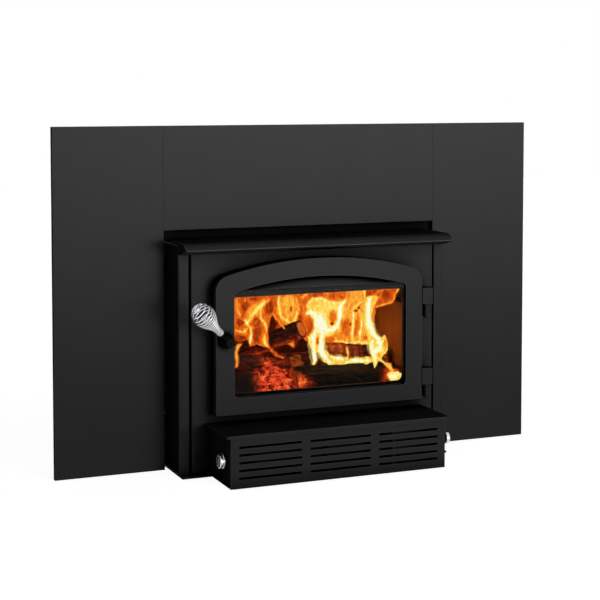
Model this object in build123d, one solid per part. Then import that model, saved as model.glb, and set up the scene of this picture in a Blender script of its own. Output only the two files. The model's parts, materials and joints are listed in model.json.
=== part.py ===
from build123d import *
import math
import os

# A wood-burning fireplace insert with an arched door, a blower and a folded steel surround.
# Millimetres.  X runs to the right, Y runs back into the chimney, Z runs up.
# The origin is on the hearth, midway across, in the plane of the surround's front face.

# ---------------------------------------------------------------- driving dimensions

# Surround: three folded panels that close the masonry opening round the insert
surround_width = 1117.6
surround_height = 736.6
surround_depth = 12.7
surround_sheet = 2.0
surround_gap_side = 9.3
surround_gap_top = 19.8
surround_edge = 1.2

# Body: pan, outer casing and front plate
body_width = 621.0
body_depth = 456.0
casing_height = 489.7
face_reach = 71.0
pan_thickness = 4.0
pan_ledge = 20.4
casing_sheet = 2.0
casing_bend = 4.0
casing_flange = 22.0
flange_setback = 3.0
plate_groove = 5.5
front_plate_thickness = 6.0
front_plate_edge = 2.5

# Cornice: the hollow casting over the door that lets the heated air out underneath
cornice_width = 620.0
cornice_height = 25.4
cornice_wall = 5.0
cornice_reach = 49.5
cornice_flat = 25.0
cornice_nose = 11.0
cornice_lip = 1.0
cornice_undercut = 38.0
cornice_bulge = 2.2
cornice_tail = 48.0
cornice_corner = 10.0
vent_count = 9
vent_pitch = 60.0
vent_length = 46.0
vent_depth = 10.0

# Firebox: welded plates with a lining of firebricks
firebox_wall = 5.0
side_channel = 28.5
top_channel = 22.7
back_channel = 40.0
floor_height = 63.6
fire_opening_width = 420.0
fire_opening_bottom = 167.5
fire_opening_top = 373.5
fire_opening_corner = 12.0
leg_size = 30.0
leg_wall = 4.0
leg_inset = 25.0
brick_thickness = 31.8
brick_width = 114.3
brick_length = 228.6
brick_gap = 1.5
brick_front_gap = 5.0
baffle_thickness = 25.0
baffle_throat = 55.0
air_tube_count = 3
air_tube_radius = 10.0
air_tube_wall = 2.0
air_tube_height = 57.0
air_tube_first = 85.0
air_tube_pitch = 130.0
air_hole_count = 15
air_hole_radius = 1.8
wash_sheet = 2.0
wash_drop = 40.0
wash_setback = 9.0
flue_radius = 76.5
flue_wall = 3.0
flue_stand = 55.0
flue_setback = 150.0
flue_flange = 15.0
flue_clearance = 4.0

# Door: an arched casting with a ceramic pane
door_width = 482.0
door_bottom = 128.5
door_apex = 454.5
door_arch = 800.0
door_corner = 35.0
door_foot = 7.0
door_depth = 32.5
door_standoff = 3.0
door_face = 9.0
door_rim = 12.0
door_edge = 2.5
least_round = 1.0
door_band_side = 41.0
door_band_top = 39.2
door_band_bottom = 37.0
window_corner = 10.0
window_head = 62.5
infill_recess = 6.5
glass_thickness = 5.0
glass_overlap = 8.0
glass_tape = 1.5
tape_show = 1.0
rope_width = 8.0
rope_groove = 4.0
rope_inset = 2.0
soft_clearance = 0.3
clip_width = 24.0
clip_leg = 9.0
clip_sheet = 2.0
clip_lip = 6.0
clip_spread = 70.0
clip_spread_wide = 170.0
screw_radius = 2.0
screw_head_radius = 3.8
screw_head_height = 2.4
fit_clearance = 0.05

# Door hinges
hinge_offset = 15.5
hinge_inset = 11.5
hinge_block_width = 27.5
hinge_block_depth = 24.0
hinge_block_height = 36.0
hinge_block_round = 5.0
hinge_spread = 178.5
hinge_middle = 269.3
hinge_pin_radius = 4.0
hinge_gap = 0.5
lug_radius = 6.5
lug_height = 28.0
lug_web = 9.0
pin_head_radius = 5.5
pin_head_height = 2.5

# Latch and spring handle
latch_inset = 21.0
latch_height = 289.0
latch_shaft_radius = 5.0
latch_bush_radius = 8.0
latch_bush_flange = 11.5
latch_bush_flange_thick = 3.0
latch_reach = 33.5
latch_bar_length = 30.0
latch_bar_width = 7.0
latch_bar_thick = 5.0
latch_slot_play = 2.0
latch_behind = 2.0
latch_neck_start = 2.0
arm_radius = 5.5
arm_length = 46.0
arm_eye_radius = 9.5
arm_eye_height = 15.0
handle_lean_x = -0.72
handle_lean_y = -0.26
handle_lean_z = 0.70
grip_start = 33.0
grip_length = 85.0
grip_wire = 2.8
grip_turns = 17
grip_bulb_radius = 24.8
grip_end_radius = 12.0
grip_bulb_place = 0.72
grip_neck_end = 0.12
grip_rib_floor = 0.1

# Blower
blower_width = 490.0
blower_reach = 135.7
blower_height = 108.0
blower_sheet = 2.0
grille_groups = 3
grille_pitch = 157.5
grille_rows = 5
grille_row_pitch = 16.0
grille_first_row = 21.0
slot_length = 140.0
slot_height = 5.5
shelf_thickness = 2.5
shelf_lip = 6.5
shelf_overhang_side = 9.0
shelf_overhang_front = 3.3
shelf_corner = 3.0
fan_centre_x = -62.0
fan_forward = 69.0
fan_height = 55.0
wheel_radius = 34.0
wheel_width = 70.0
wheel_sheet = 1.5
blade_count = 24
blade_depth = 6.0
blade_thickness = 1.0
blade_relief = 0.4
scroll_radius = 42.0
scroll_width = 80.0
scroll_sheet = 1.2
scroll_outlet = 40.0
scroll_inlet_radius = 26.0
scroll_gap = 10.0
motor_radius = 31.0
motor_length = 70.0
motor_foot = 36.0
fan_shaft_radius = 4.0
wheel_hub_radius = 9.0
wheel_hub_length = 14.0

# Controls on the blower's ends
control_forward = 99.0
speed_height = 52.0
speed_knob_radius = 14.75
speed_knob_length = 10.0
speed_knob_gap = 4.0
speed_skirt_radius = 16.5
speed_skirt_length = 2.5
speed_knob_round = 1.2
speed_shaft_radius = 3.0
speed_pointer_width = 2.2
speed_pointer_depth = 0.8
speed_body_size = 38.0
speed_body_depth = 26.0
speed_bore_depth = 15.6
speed_stem_gap = 2.6
speed_neck_radius = 4.8
speed_nut_radius = 7.5
speed_nut_length = 2.5
grommet_forward = 70.0
grommet_height = 17.0
grommet_hole = 3.8
grommet_radius = 8.0
grommet_flange = 10.5
grommet_flange_thick = 3.0
air_knob_radius = 13.5
air_knob_length = 9.0
air_knob_gap = 17.0
air_rod_radius = 4.0
air_rod_height = 55.0
air_travel = 45.0
air_box_spare = 10.0
air_port_length = 50.0
air_port_height = 40.0
air_port_inset = 8.0
damper_overlap = 6.0
damper_thickness = 2.0
damper_gap = 0.3
damper_tab = 8.0
port_plate_forward = 79.0

# Surround brackets and their screws
bracket_leg = 22.0
bracket_hole = 13.2
bracket_height = 30.0
bracket_sheet = 2.5
bracket_low = 90.0
bracket_high = 420.0

# Angle on the casing's lid that closes the gap under the surround's top panel
closure_sheet = 2.0
closure_foot = 20.0

# Fire: bed of embers and split logs
bed_height = 17.0
bed_side_gap = 10.0
bed_rear_gap = 25.0
bed_round = 12.0
heap_margin = 6.0
heap_gap = 4.0
heap_side_gap = 12.0
heap_front_rise = 32.0
heap_rear_rise = 76.0
heap_low_rise = 40.0
log_taper = 0.93
log_sides = 9
log_facet = 0.07
log_end_gap = 15.0
front_log_radius = 40.0
front_log_setback = 93.0
front_log_skew = 24.0
left_log_end = 103.0
right_log_end = 12.0
rear_log_radius = 46.0
rear_log_setback = 195.0
upper_log_radius = 30.0
upper_left_end = 78.0
upper_right_end = 66.0
lean_log_radius = 22.0
lean_log_length = 355.0
lean_log_setback = 395.0
lean_log_foot = 168.0
lean_log_turn = 34.6
flame_height = 180.0
flame_sheet = 3.0
flame_gap = 4.0
flame_split_left = 105.0
flame_split_right = 5.0
flame_side_gap = 18.0

# How far a cut runs past the face that it starts from
past = 1.0

# ---------------------------------------------------------------- levels and planes

plate_front = -face_reach
plate_back = plate_front + front_plate_thickness
flange_front = plate_front + flange_setback
half_body = body_width / 2
half_plate = half_body - casing_flange - plate_groove
casing_inner = half_body - casing_sheet
casing_top_under = casing_height - casing_sheet
cornice_top = casing_height + cornice_wall
cornice_under = cornice_top - cornice_height

firebox_half = casing_inner - side_channel
firebox_inner = firebox_half - firebox_wall
firebox_rear = body_depth - casing_sheet - back_channel
firebox_rear_inner = firebox_rear - firebox_wall
firebox_roof = casing_top_under - top_channel
firebox_roof_under = firebox_roof - firebox_wall
firebox_floor_top = floor_height + firebox_wall
hearth_level = firebox_floor_top + brick_thickness
brick_top = hearth_level + brick_length
brick_front = plate_back + brick_front_gap
brick_rear = firebox_rear_inner - brick_thickness
brick_inner = firebox_inner - brick_thickness
air_tube_level = brick_top + air_tube_height
baffle_under = air_tube_level + air_tube_radius
baffle_front = plate_back + baffle_throat

half_door = door_width / 2
door_back = plate_front - door_standoff
door_front = door_back - door_depth
face_back = door_front + door_face
window_half = half_door - door_band_side
window_bottom = door_bottom + door_band_bottom
window_apex = door_apex - door_band_top
window_top = door_apex - window_head
glass_front = face_back + glass_tape
glass_back = glass_front + glass_thickness
glass_half = window_half + glass_overlap
glass_low = window_bottom - glass_overlap
glass_high = window_top + glass_overlap

hinge_x = half_door + hinge_offset
hinge_y = door_front + hinge_inset
hinge_levels = [hinge_middle - hinge_spread / 2, hinge_middle + hinge_spread / 2]
lug_top_offset = hinge_block_height / 2 + hinge_gap

latch_x = -half_door + latch_inset
latch_tip = plate_back + latch_behind
handle_front = door_front - latch_reach

half_blower = blower_width / 2
blower_front = plate_front - blower_reach
blower_inner_front = blower_front + blower_sheet
blower_inner_half = half_blower - blower_sheet
pan_front = plate_front - pan_ledge
shelf_top = blower_height + shelf_thickness
fan_y = plate_front - fan_forward
control_y = plate_front - control_forward
air_box_width = (2 * blower_sheet + air_port_inset + air_port_length + damper_overlap
                 + air_travel + air_box_spare)
air_box_left = half_blower - air_box_width
port_plate_y = plate_front - port_plate_forward
port_left = air_box_left + blower_sheet + air_port_inset
port_low = air_rod_height - air_port_height / 2

bed_top = hearth_level + bed_height
log_reach = brick_inner - log_end_gap
front_log_y = plate_back + front_log_setback
front_log_z = bed_top + front_log_radius
rear_log_y = plate_back + rear_log_setback
rear_log_z = bed_top + rear_log_radius

opening_half = half_body + surround_gap_side
opening_top = cornice_top + surround_gap_top
half_surround = surround_width / 2


# ---------------------------------------------------------------- small helpers

def block(x0, x1, y0, y1, z0, z1):
    """A box between two corners."""
    middle = Pos((x0 + x1) / 2, (y0 + y1) / 2, (z0 + z1) / 2)
    return middle * Box(abs(x1 - x0), abs(y1 - y0), abs(z1 - z0))


def rod_x(x0, x1, y, z, radius):
    """A round bar along X."""
    return Pos((x0 + x1) / 2, y, z) * Rot(0, 90, 0) * Cylinder(radius, abs(x1 - x0))


def rod_y(x, y0, y1, z, radius):
    """A round bar along Y."""
    return Pos(x, (y0 + y1) / 2, z) * Rot(90, 0, 0) * Cylinder(radius, abs(y1 - y0))


def rod_z(x, y, z0, z1, radius):
    """A round bar along Z."""
    return Pos(x, y, (z0 + z1) / 2) * Cylinder(radius, abs(z1 - z0))


def slab_y(face, y0, y1):
    """Extrude a face drawn in X and Z, from y0 back to y1."""
    return Pos(0, y1, 0) * extrude(Plane.XZ * face, y1 - y0)


def group(solids):
    """Several separate solids of one kind."""
    return Compound(children=list(solids))


def centred(count, pitch):
    """Places of a row of count copies about zero."""
    return [(i - (count - 1) / 2) * pitch for i in range(count)]


def split_span(low, high, nominal, gap):
    """Cut a span into equal pieces of about the nominal size, with a gap between them."""
    count = max(1, round((high - low) / nominal))
    size = (high - low - gap * (count - 1)) / count
    return [(low + i * (size + gap), low + i * (size + gap) + size) for i in range(count)]


def save(name, shape):
    """Write one sub-part."""
    export_step(shape, f"parts/{name}.step")


# ---------------------------------------------------------------- surround

def folded_panel(x0, x1, z0, z1):
    """A sheet panel facing -Y, with its four edges folded back to the masonry."""
    panel = block(x0, x1, 0, surround_depth, z0, z1)
    panel -= block(x0 + surround_sheet, x1 - surround_sheet, surround_sheet, surround_depth + past,
                   z0 + surround_sheet, z1 - surround_sheet)
    front_edges = panel.faces().sort_by(Axis.Y)[0].edges()
    return fillet(front_edges, surround_edge)


def make_surround_left():
    return folded_panel(-half_surround, -opening_half, 0, surround_height)


def make_surround_right():
    return folded_panel(opening_half, half_surround, 0, surround_height)


def make_surround_top():
    return folded_panel(-opening_half, opening_half, opening_top, surround_height)


def bracket_places():
    """Side, and lower edge, of each angle bracket that holds a side panel."""
    return [(side, level) for side in (-1, 1) for level in (bracket_low, bracket_high)]


def make_surround_brackets():
    """Angles screwed to the casing, whose other leg carries the side panels' folded edge."""
    angles = []
    for side, level in bracket_places():
        inner = side * half_body
        leg = block(inner, inner + side * bracket_sheet, surround_depth, surround_depth + bracket_leg,
                    level, level + bracket_height)
        pad = block(inner, side * (opening_half + surround_sheet), surround_depth,
                    surround_depth + bracket_sheet, level, level + bracket_height)
        hole = rod_x(inner - side * past, inner + side * (bracket_sheet + past),
                     surround_depth + bracket_hole, level + bracket_height / 2,
                     screw_radius + fit_clearance)
        angles.append(leg + pad - hole)
    return group(angles)


def make_panel_screws():
    """Screws of the surround's brackets, driven into the casing's sides."""
    screws = []
    for side, level in bracket_places():
        seat = side * (half_body + bracket_sheet)
        y = surround_depth + bracket_hole
        z = level + bracket_height / 2
        shank = rod_x(side * casing_inner, seat, y, z, screw_radius)
        head = rod_x(seat, seat + side * screw_head_height, y, z, screw_head_radius)
        screws.append(shank + head)
    return group(screws)


def make_closure_angle():
    """Angle that stands on the casing's lid and fills the gap up to the surround's top panel."""
    face = surround_depth - closure_sheet
    upright = block(-opening_half, opening_half, face, surround_depth, casing_height, opening_top)
    foot = block(-half_body, half_body, face, surround_depth + closure_foot,
                 casing_height, casing_height + closure_sheet)
    return upright + foot


# ---------------------------------------------------------------- pan, casing and cornice

def make_base_pan():
    return block(-half_body, half_body, pan_front, body_depth, 0, pan_thickness)


def casing_side(side):
    """Side sheet with its front edge bent inwards as a flange beside the front plate."""
    outer = side * half_body
    inner = side * casing_inner
    flange_end = side * (half_body - casing_flange)
    sheet = block(inner, outer, flange_front, body_depth, pan_thickness, casing_top_under)
    flange = block(flange_end, outer, flange_front, flange_front + casing_sheet,
                   pan_thickness, casing_top_under)
    shell = sheet + flange
    corner = shell.edges().filter_by(Axis.Z).sort_by(lambda e: side * e.center().X - e.center().Y)[-1]
    shell = fillet(corner, casing_bend)
    for bracket_side, level in bracket_places():
        if bracket_side == side:
            shell -= rod_x(inner - side * past, outer + side * past, surround_depth + bracket_hole,
                           level + bracket_height / 2, screw_radius + fit_clearance)
    return shell


def make_casing_back():
    return block(-casing_inner, casing_inner, body_depth - casing_sheet, body_depth,
                 pan_thickness, casing_top_under)


def make_casing_top():
    """Lid of the casing, with a clearance hole for the flue collar."""
    lid = block(-half_body, half_body, flange_front, body_depth, casing_top_under, casing_height)
    hole = rod_z(0, flue_setback, casing_top_under - past, casing_height + past,
                 flue_radius + flue_wall + flue_clearance)
    return lid - hole


def make_front_plate():
    """Thick front plate with the fire opening, the latch slot and the blower's air ways."""
    plate = block(-half_plate, half_plate, plate_front, plate_back, pan_thickness, cornice_under)
    plate = fillet(plate.faces().sort_by(Axis.Y)[0].edges().filter_by(Axis.Z), front_plate_edge)
    opening = RectangleRounded(fire_opening_width, fire_opening_top - fire_opening_bottom,
                               fire_opening_corner)
    middle = (fire_opening_top + fire_opening_bottom) / 2
    plate -= slab_y(Pos(0, middle) * opening, plate_front - past, plate_back + past)
    slot_half_width = latch_bar_width / 2 + latch_slot_play
    slot_half_height = latch_bar_length / 2 + latch_slot_play
    plate -= block(latch_x - slot_half_width, latch_x + slot_half_width, plate_front - past,
                   plate_back + past, latch_height - slot_half_height, latch_height + slot_half_height)
    for centre in scroll_centres():
        plate -= block(centre - scroll_width / 2 + scroll_sheet, centre + scroll_width / 2 - scroll_sheet,
                       plate_front - past, plate_back + past,
                       fan_height - scroll_radius + scroll_sheet,
                       fan_height - scroll_radius + scroll_outlet - scroll_sheet)
    plate -= block(port_left, port_left + air_port_length, plate_front - past, plate_back + past,
                   floor_height / 2 - air_port_height / 4, floor_height / 2 + air_port_height / 2)
    return plate


def cornice_profile():
    """Outline of the casting's nose in Y and Z, from its back edge round to its underside."""
    back = flange_front
    nose = plate_front - cornice_reach
    shoulder = (plate_front - cornice_flat, cornice_top)
    brow = (nose, cornice_under + cornice_lip + cornice_nose)
    chin = (nose, cornice_under + cornice_nose)
    heel = (nose + cornice_undercut, cornice_under)
    outline = (Line((back, cornice_top), shoulder)
               + SagittaArc(shoulder, brow, -cornice_bulge)
               + Polyline(brow, chin, heel, (back, cornice_under), (back, cornice_top)))
    return make_face(outline)


def make_cornice():
    """Hollow casting over the door: a sloped nose, a flat top and a row of vents underneath."""
    half = cornice_width / 2
    nose = plate_front - cornice_reach
    solid = Pos(-half, 0, 0) * extrude(Plane.YZ * cornice_profile(), cornice_width)
    plan = block(-half, half, nose, flange_front + past, cornice_under, cornice_top)
    front_corners = plan.edges().filter_by(Axis.Z).sort_by(Axis.Y)[:2]
    solid = solid & fillet(front_corners, cornice_corner)
    pocket = block(-half + cornice_wall, half - cornice_wall,
                   plate_front - cornice_flat + cornice_wall, flange_front + past,
                   cornice_under + cornice_wall, cornice_top - cornice_wall)
    solid -= pocket
    vent_y = plate_front - cornice_flat / 2
    for x in centred(vent_count, vent_pitch):
        solid -= block(x - vent_length / 2, x + vent_length / 2, vent_y - vent_depth / 2,
                       vent_y + vent_depth / 2, cornice_under - past, cornice_under + cornice_wall + past)
    tail = block(-half, half, flange_front, flange_front + cornice_tail, casing_height, cornice_top)
    return solid + tail


# ---------------------------------------------------------------- firebox

def make_support_legs():
    """Four upright angles that carry the firebox above the pan."""
    legs = []
    for side in (-1, 1):
        for y0 in (plate_back + leg_inset, firebox_rear - leg_inset - leg_size):
            x0 = side * (firebox_half - leg_inset)
            x1 = x0 - side * leg_size
            flat = block(x0, x0 - side * leg_wall, y0, y0 + leg_size, pan_thickness, floor_height)
            rib = block(x0, x1, y0, y0 + leg_wall, pan_thickness, floor_height)
            legs.append(flat + rib)
    return group(legs)


def make_firebox_floor():
    return block(-firebox_half, firebox_half, plate_back, firebox_rear, floor_height, firebox_floor_top)


def firebox_side(side):
    return block(side * firebox_inner, side * firebox_half, plate_back, firebox_rear,
                 firebox_floor_top, firebox_roof_under)


def make_firebox_back():
    return block(-firebox_inner, firebox_inner, firebox_rear_inner, firebox_rear,
                 firebox_floor_top, firebox_roof_under)


def make_firebox_top():
    roof = block(-firebox_half, firebox_half, plate_back, firebox_rear, firebox_roof_under, firebox_roof)
    return roof - rod_z(0, flue_setback, firebox_roof_under - past, firebox_roof + past,
                        flue_radius + flue_wall)


def make_flue_collar():
    """Round collar through the roof, with a flange that seats on it."""
    top = casing_height + flue_stand
    tube = rod_z(0, flue_setback, firebox_roof_under, top, flue_radius + flue_wall)
    flange = rod_z(0, flue_setback, firebox_roof, firebox_roof + flue_wall,
                   flue_radius + flue_wall + flue_flange)
    bore = rod_z(0, flue_setback, firebox_roof_under - past, top + past, flue_radius)
    return tube + flange - bore


def make_floor_bricks():
    columns = split_span(-firebox_inner, firebox_inner, brick_width, brick_gap)
    rows = split_span(brick_front, firebox_rear_inner, brick_length, brick_gap)
    return group(block(x0, x1, y0, y1, firebox_floor_top, hearth_level)
                 for x0, x1 in columns for y0, y1 in rows)


def side_bricks(side):
    columns = split_span(brick_front, brick_rear - brick_gap, brick_width, brick_gap)
    return group(block(side * brick_inner, side * firebox_inner, y0, y1, hearth_level, brick_top)
                 for y0, y1 in columns)


def make_back_bricks():
    columns = split_span(-firebox_inner, firebox_inner, brick_width, brick_gap)
    return group(block(x0, x1, brick_rear, firebox_rear_inner, hearth_level, brick_top)
                 for x0, x1 in columns)


def air_tube_places():
    return [plate_back + air_tube_first + i * air_tube_pitch for i in range(air_tube_count)]


def make_air_tubes():
    """Tubes across the firebox whose rows of holes feed air into the flames' tops."""
    tubes = []
    pitch = 2 * brick_inner / (air_hole_count + 1)
    for y in air_tube_places():
        tube = rod_x(-firebox_inner, firebox_inner, y, air_tube_level, air_tube_radius)
        tube -= rod_x(-firebox_inner - past, firebox_inner + past, y, air_tube_level,
                      air_tube_radius - air_tube_wall)
        for x in centred(air_hole_count, pitch):
            tube -= rod_y(x, y - air_tube_radius - past, y, air_tube_level, air_hole_radius)
        tubes.append(tube)
    return group(tubes)


def make_baffle_boards():
    """Two boards that lie on the air tubes and turn the smoke forward before it rises."""
    front, rear = baffle_front, firebox_rear_inner - brick_gap
    top = baffle_under + baffle_thickness
    left = block(-firebox_inner + brick_gap, -brick_gap / 2, front, rear, baffle_under, top)
    right = block(brick_gap / 2, firebox_inner - brick_gap, front, rear, baffle_under, top)
    return group([left, right])


def make_wash_deflector():
    """Angle that turns the hot air down over the pane."""
    lip_back = plate_back + wash_setback
    low = fire_opening_top + wash_sheet
    high = low + wash_drop
    reach = firebox_inner - brick_gap
    drop = block(-reach, reach, lip_back - wash_sheet, lip_back, low, high)
    shelf = block(-reach, reach, plate_back, lip_back, high - wash_sheet, high)
    return drop + shelf


# ---------------------------------------------------------------- door

def arched_face(inset, half, bottom, apex, arch, corner, foot):
    """Flat-bottomed outline with a low arch, drawn in X and Z, shrunk by the inset."""
    half, bottom, apex, arch = half - inset, bottom + inset, apex - inset, arch - inset
    tall = Pos(0, (bottom + apex) / 2) * Rectangle(2 * half, apex - bottom)
    outline = tall & Pos(0, apex - arch) * Circle(arch)
    feet = outline.vertices().sort_by(Axis.Y)[:2]
    outline = fillet(feet, max(foot - inset, least_round))
    shoulders = [v for v in outline.vertices() if abs(abs(v.X) - half) < 0.01 and v.Y > (bottom + apex) / 2]
    return fillet(shoulders, max(corner - inset, least_round))


def door_outline(inset):
    return arched_face(inset, half_door, door_bottom, door_apex, door_arch, door_corner, door_foot)


def window_outline():
    arch = door_arch - door_band_top
    return arched_face(0, window_half, window_bottom, window_apex, arch, window_corner, window_corner)


def clip_places():
    """Place and outward direction of each pane clip, in X and Z."""
    middle = (glass_low + glass_high) / 2
    edge = glass_half + soft_clearance
    places = []
    for side in (-1, 1):
        for z in (middle - clip_spread, middle + clip_spread):
            places.append((side * edge, z, side, 0))
        for x in (-clip_spread_wide, clip_spread_wide):
            level = glass_high + soft_clearance if side > 0 else glass_low - soft_clearance
            places.append((x, level, 0, side))
    return places


def make_door_frame():
    """Arched casting: a face with a stepped window, a deep rim and a groove for the rope seal."""
    frame = slab_y(door_outline(0), door_front, door_back)
    frame = fillet(frame.faces().sort_by(Axis.Y)[0].edges(), door_edge)
    frame -= slab_y(door_outline(door_rim), face_back, door_back + past)
    groove = door_outline(rope_inset) - door_outline(rope_inset + rope_width)
    frame -= slab_y(groove, door_back - rope_groove, door_back + past)
    frame -= slab_y(window_outline(), door_front - past, door_front + infill_recess)
    clear = Pos(0, (window_bottom + window_top) / 2) * Rectangle(door_width, window_top - window_bottom)
    frame -= slab_y(window_outline() & clear, door_front - past, face_back + past)
    frame -= rod_y(latch_x, door_front - past, face_back + past, latch_height, latch_bush_radius)
    for x, z, dx, dz in clip_places():
        frame -= rod_y(x + dx * clip_leg / 2, face_back - door_face / 2, face_back + past,
                       z + dz * clip_leg / 2, screw_radius + fit_clearance)
    return frame


def make_door_glass():
    return block(-glass_half, glass_half, glass_front, glass_back, glass_low, glass_high)


def make_glass_gasket():
    """Flat tape between the casting and the pane."""
    outer = block(-glass_half, glass_half, face_back, glass_front, glass_low, glass_high)
    inner = block(-window_half + tape_show, window_half - tape_show, face_back - past, glass_front + past,
                  window_bottom + tape_show, window_top - tape_show)
    return outer - inner


def make_glass_clips():
    """Small angles that press the pane against its tape."""
    clips = []
    for x, z, dx, dz in clip_places():
        half = clip_width / 2
        along_x, along_z = (0, half) if dx else (half, 0)
        leg_x = sorted((x - along_x, x + along_x + dx * clip_leg))
        leg_z = sorted((z - along_z, z + along_z + dz * clip_leg))
        lip_x = sorted((x - along_x - dx * clip_lip, x + along_x + dx * clip_leg))
        lip_z = sorted((z - along_z - dz * clip_lip, z + along_z + dz * clip_leg))
        leg = block(leg_x[0], leg_x[1], face_back, glass_back, leg_z[0], leg_z[1])
        lip = block(lip_x[0], lip_x[1], glass_back, glass_back + clip_sheet, lip_z[0], lip_z[1])
        hole = rod_y(x + dx * clip_leg / 2, face_back - past, glass_back + clip_sheet + past,
                     z + dz * clip_leg / 2, screw_radius + fit_clearance)
        clips.append(leg + lip - hole)
    return group(clips)


def make_clip_screws():
    screws = []
    for x, z, dx, dz in clip_places():
        cx, cz = x + dx * clip_leg / 2, z + dz * clip_leg / 2
        seat = glass_back + clip_sheet
        shank = rod_y(cx, face_back - door_face / 2, seat, cz, screw_radius)
        head = rod_y(cx, seat, seat + screw_head_height, cz, screw_head_radius)
        screws.append(shank + head)
    return group(screws)


def make_door_gasket():
    """Rope seal that sits in the rim's groove and meets the front plate."""
    ring = door_outline(rope_inset) - door_outline(rope_inset + rope_width)
    return slab_y(ring, door_back - rope_groove, plate_front - soft_clearance)


def make_hinge_blocks():
    """Two blocks on the door's edge, bored for the hinge pins."""
    blocks = []
    for level in hinge_levels:
        low, high = level - hinge_block_height / 2, level + hinge_block_height / 2
        body = block(half_door, half_door + hinge_block_width, hinge_y - hinge_block_depth / 2,
                     hinge_y + hinge_block_depth / 2, low, high)
        outer = body.edges().filter_by(Axis.Z).sort_by(Axis.X)[-2:]
        body = fillet(outer, hinge_block_round)
        body -= rod_z(hinge_x, hinge_y, low - past, high + past, hinge_pin_radius + fit_clearance)
        blocks.append(body)
    return group(blocks)


def make_hinge_lugs():
    """Lugs on the front plate that carry the pins below each hinge block."""
    lugs = []
    for level in hinge_levels:
        top = level - lug_top_offset
        low = top - lug_height
        barrel = rod_z(hinge_x, hinge_y, low, top, lug_radius)
        web = block(hinge_x - lug_web / 2, hinge_x + lug_web / 2, hinge_y, plate_front, low, top)
        bore = rod_z(hinge_x, hinge_y, low - past, top + past, hinge_pin_radius)
        lugs.append(barrel + web - bore)
    return group(lugs)


def make_hinge_pins():
    """Headed pins pressed up through the lugs into the hinge blocks."""
    pins = []
    for level in hinge_levels:
        low = level - lug_top_offset - lug_height
        shank = rod_z(hinge_x, hinge_y, low, level + hinge_block_height / 2, hinge_pin_radius)
        head = rod_z(hinge_x, hinge_y, low - pin_head_height, low, pin_head_radius)
        pins.append(shank + head)
    return group(pins)


# ---------------------------------------------------------------- latch and handle

def make_handle_bush():
    """Flanged bush in the door's stile that the latch shaft turns in."""
    barrel = rod_y(latch_x, door_front, face_back, latch_height, latch_bush_radius)
    flange = rod_y(latch_x, door_front - latch_bush_flange_thick, door_front, latch_height,
                   latch_bush_flange)
    bore = rod_y(latch_x, door_front - latch_bush_flange_thick - past, face_back + past, latch_height,
                 latch_shaft_radius + fit_clearance)
    return barrel + flange - bore


def make_latch_shaft():
    """Shaft with a narrower neck and a cross bar that turns behind the front plate."""
    neck_front = plate_front - latch_neck_start
    half_bar = latch_bar_width / 2
    shaft = rod_y(latch_x, handle_front, neck_front, latch_height, latch_shaft_radius)
    neck = rod_y(latch_x, neck_front, latch_tip, latch_height, half_bar)
    bar = block(latch_x - half_bar, latch_x + half_bar, latch_tip, latch_tip + latch_bar_thick,
                latch_height - latch_bar_length / 2, latch_height + latch_bar_length / 2)
    return shaft + neck + bar


def handle_plane():
    """Plane at the shaft's front end, whose normal points along the handle."""
    eye_middle = handle_front + arm_eye_height / 2
    return Plane(origin=(latch_x, eye_middle, latch_height),
                 z_dir=(handle_lean_x, handle_lean_y, handle_lean_z))


def make_handle_arm():
    """Black arm: an eye on the shaft and a round stem that carries the spring."""
    eye = rod_y(latch_x, handle_front, handle_front + arm_eye_height, latch_height, arm_eye_radius)
    stem = handle_plane() * Pos(0, 0, arm_length / 2) * Cylinder(arm_radius, arm_length)
    bore = rod_y(latch_x, handle_front - past, handle_front + arm_eye_height + past, latch_height,
                 latch_shaft_radius)
    return eye + stem - bore


def grip_radius(share):
    """Centre-line radius of the coil at a share of its length."""
    neck = arm_radius + grip_wire / 2
    if share < grip_bulb_place:
        swell = max(0.0, share - grip_neck_end) / (grip_bulb_place - grip_neck_end)
        rise = (1 - math.cos(math.pi * swell)) / 2
        return neck + (grip_bulb_radius - grip_wire / 2 - neck) * rise
    fall = (share - grip_bulb_place) / (1 - grip_bulb_place)
    drop = grip_bulb_radius - grip_wire / 2 - grip_end_radius
    return grip_bulb_radius - grip_wire / 2 - drop * fall ** 2


def make_spring_grip():
    """Bulb of coiled wire, as a ribbed hollow of revolution with one rib for each turn."""
    pitch = grip_length / grip_turns
    valleys = [(grip_radius(i / grip_turns) + grip_wire * grip_rib_floor, i * pitch)
               for i in range(grip_turns + 1)]
    crests = [(grip_radius((i + 0.5) / grip_turns) + grip_wire / 2, (i + 0.5) * pitch)
              for i in range(grip_turns)]
    inner = [(grip_radius(i / grip_turns) - grip_wire / 2, i * pitch) for i in range(grip_turns + 1)]
    ribs = Curve() + [ThreePointArc(valleys[i], crests[i], valleys[i + 1]) for i in range(grip_turns)]
    lining = Polyline(valleys[-1], *reversed(inner), valleys[0])
    section = make_face(ribs + lining)
    coil = revolve(Plane.XZ * section, Axis.Z)
    return handle_plane() * Pos(0, 0, grip_start) * coil


# ---------------------------------------------------------------- blower

def scroll_centres():
    """Middle of each scroll along X, one each side of the motor."""
    offset = motor_length / 2 + scroll_gap + scroll_width / 2
    return [fan_centre_x - offset, fan_centre_x + offset]


def make_blower_floor():
    return block(-blower_inner_half, blower_inner_half, blower_inner_front, pan_front, 0, blower_sheet)


def make_blower_grille():
    """Front sheet with rows of slots in groups."""
    sheet = block(-half_blower, half_blower, blower_front, blower_inner_front, 0, blower_height)
    slot = SlotOverall(slot_length, slot_height)
    for x in centred(grille_groups, grille_pitch):
        for row in range(grille_rows):
            z = grille_first_row + row * grille_row_pitch
            sheet -= slab_y(Pos(x, z) * slot, blower_front - past, blower_inner_front + past)
    return sheet


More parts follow.
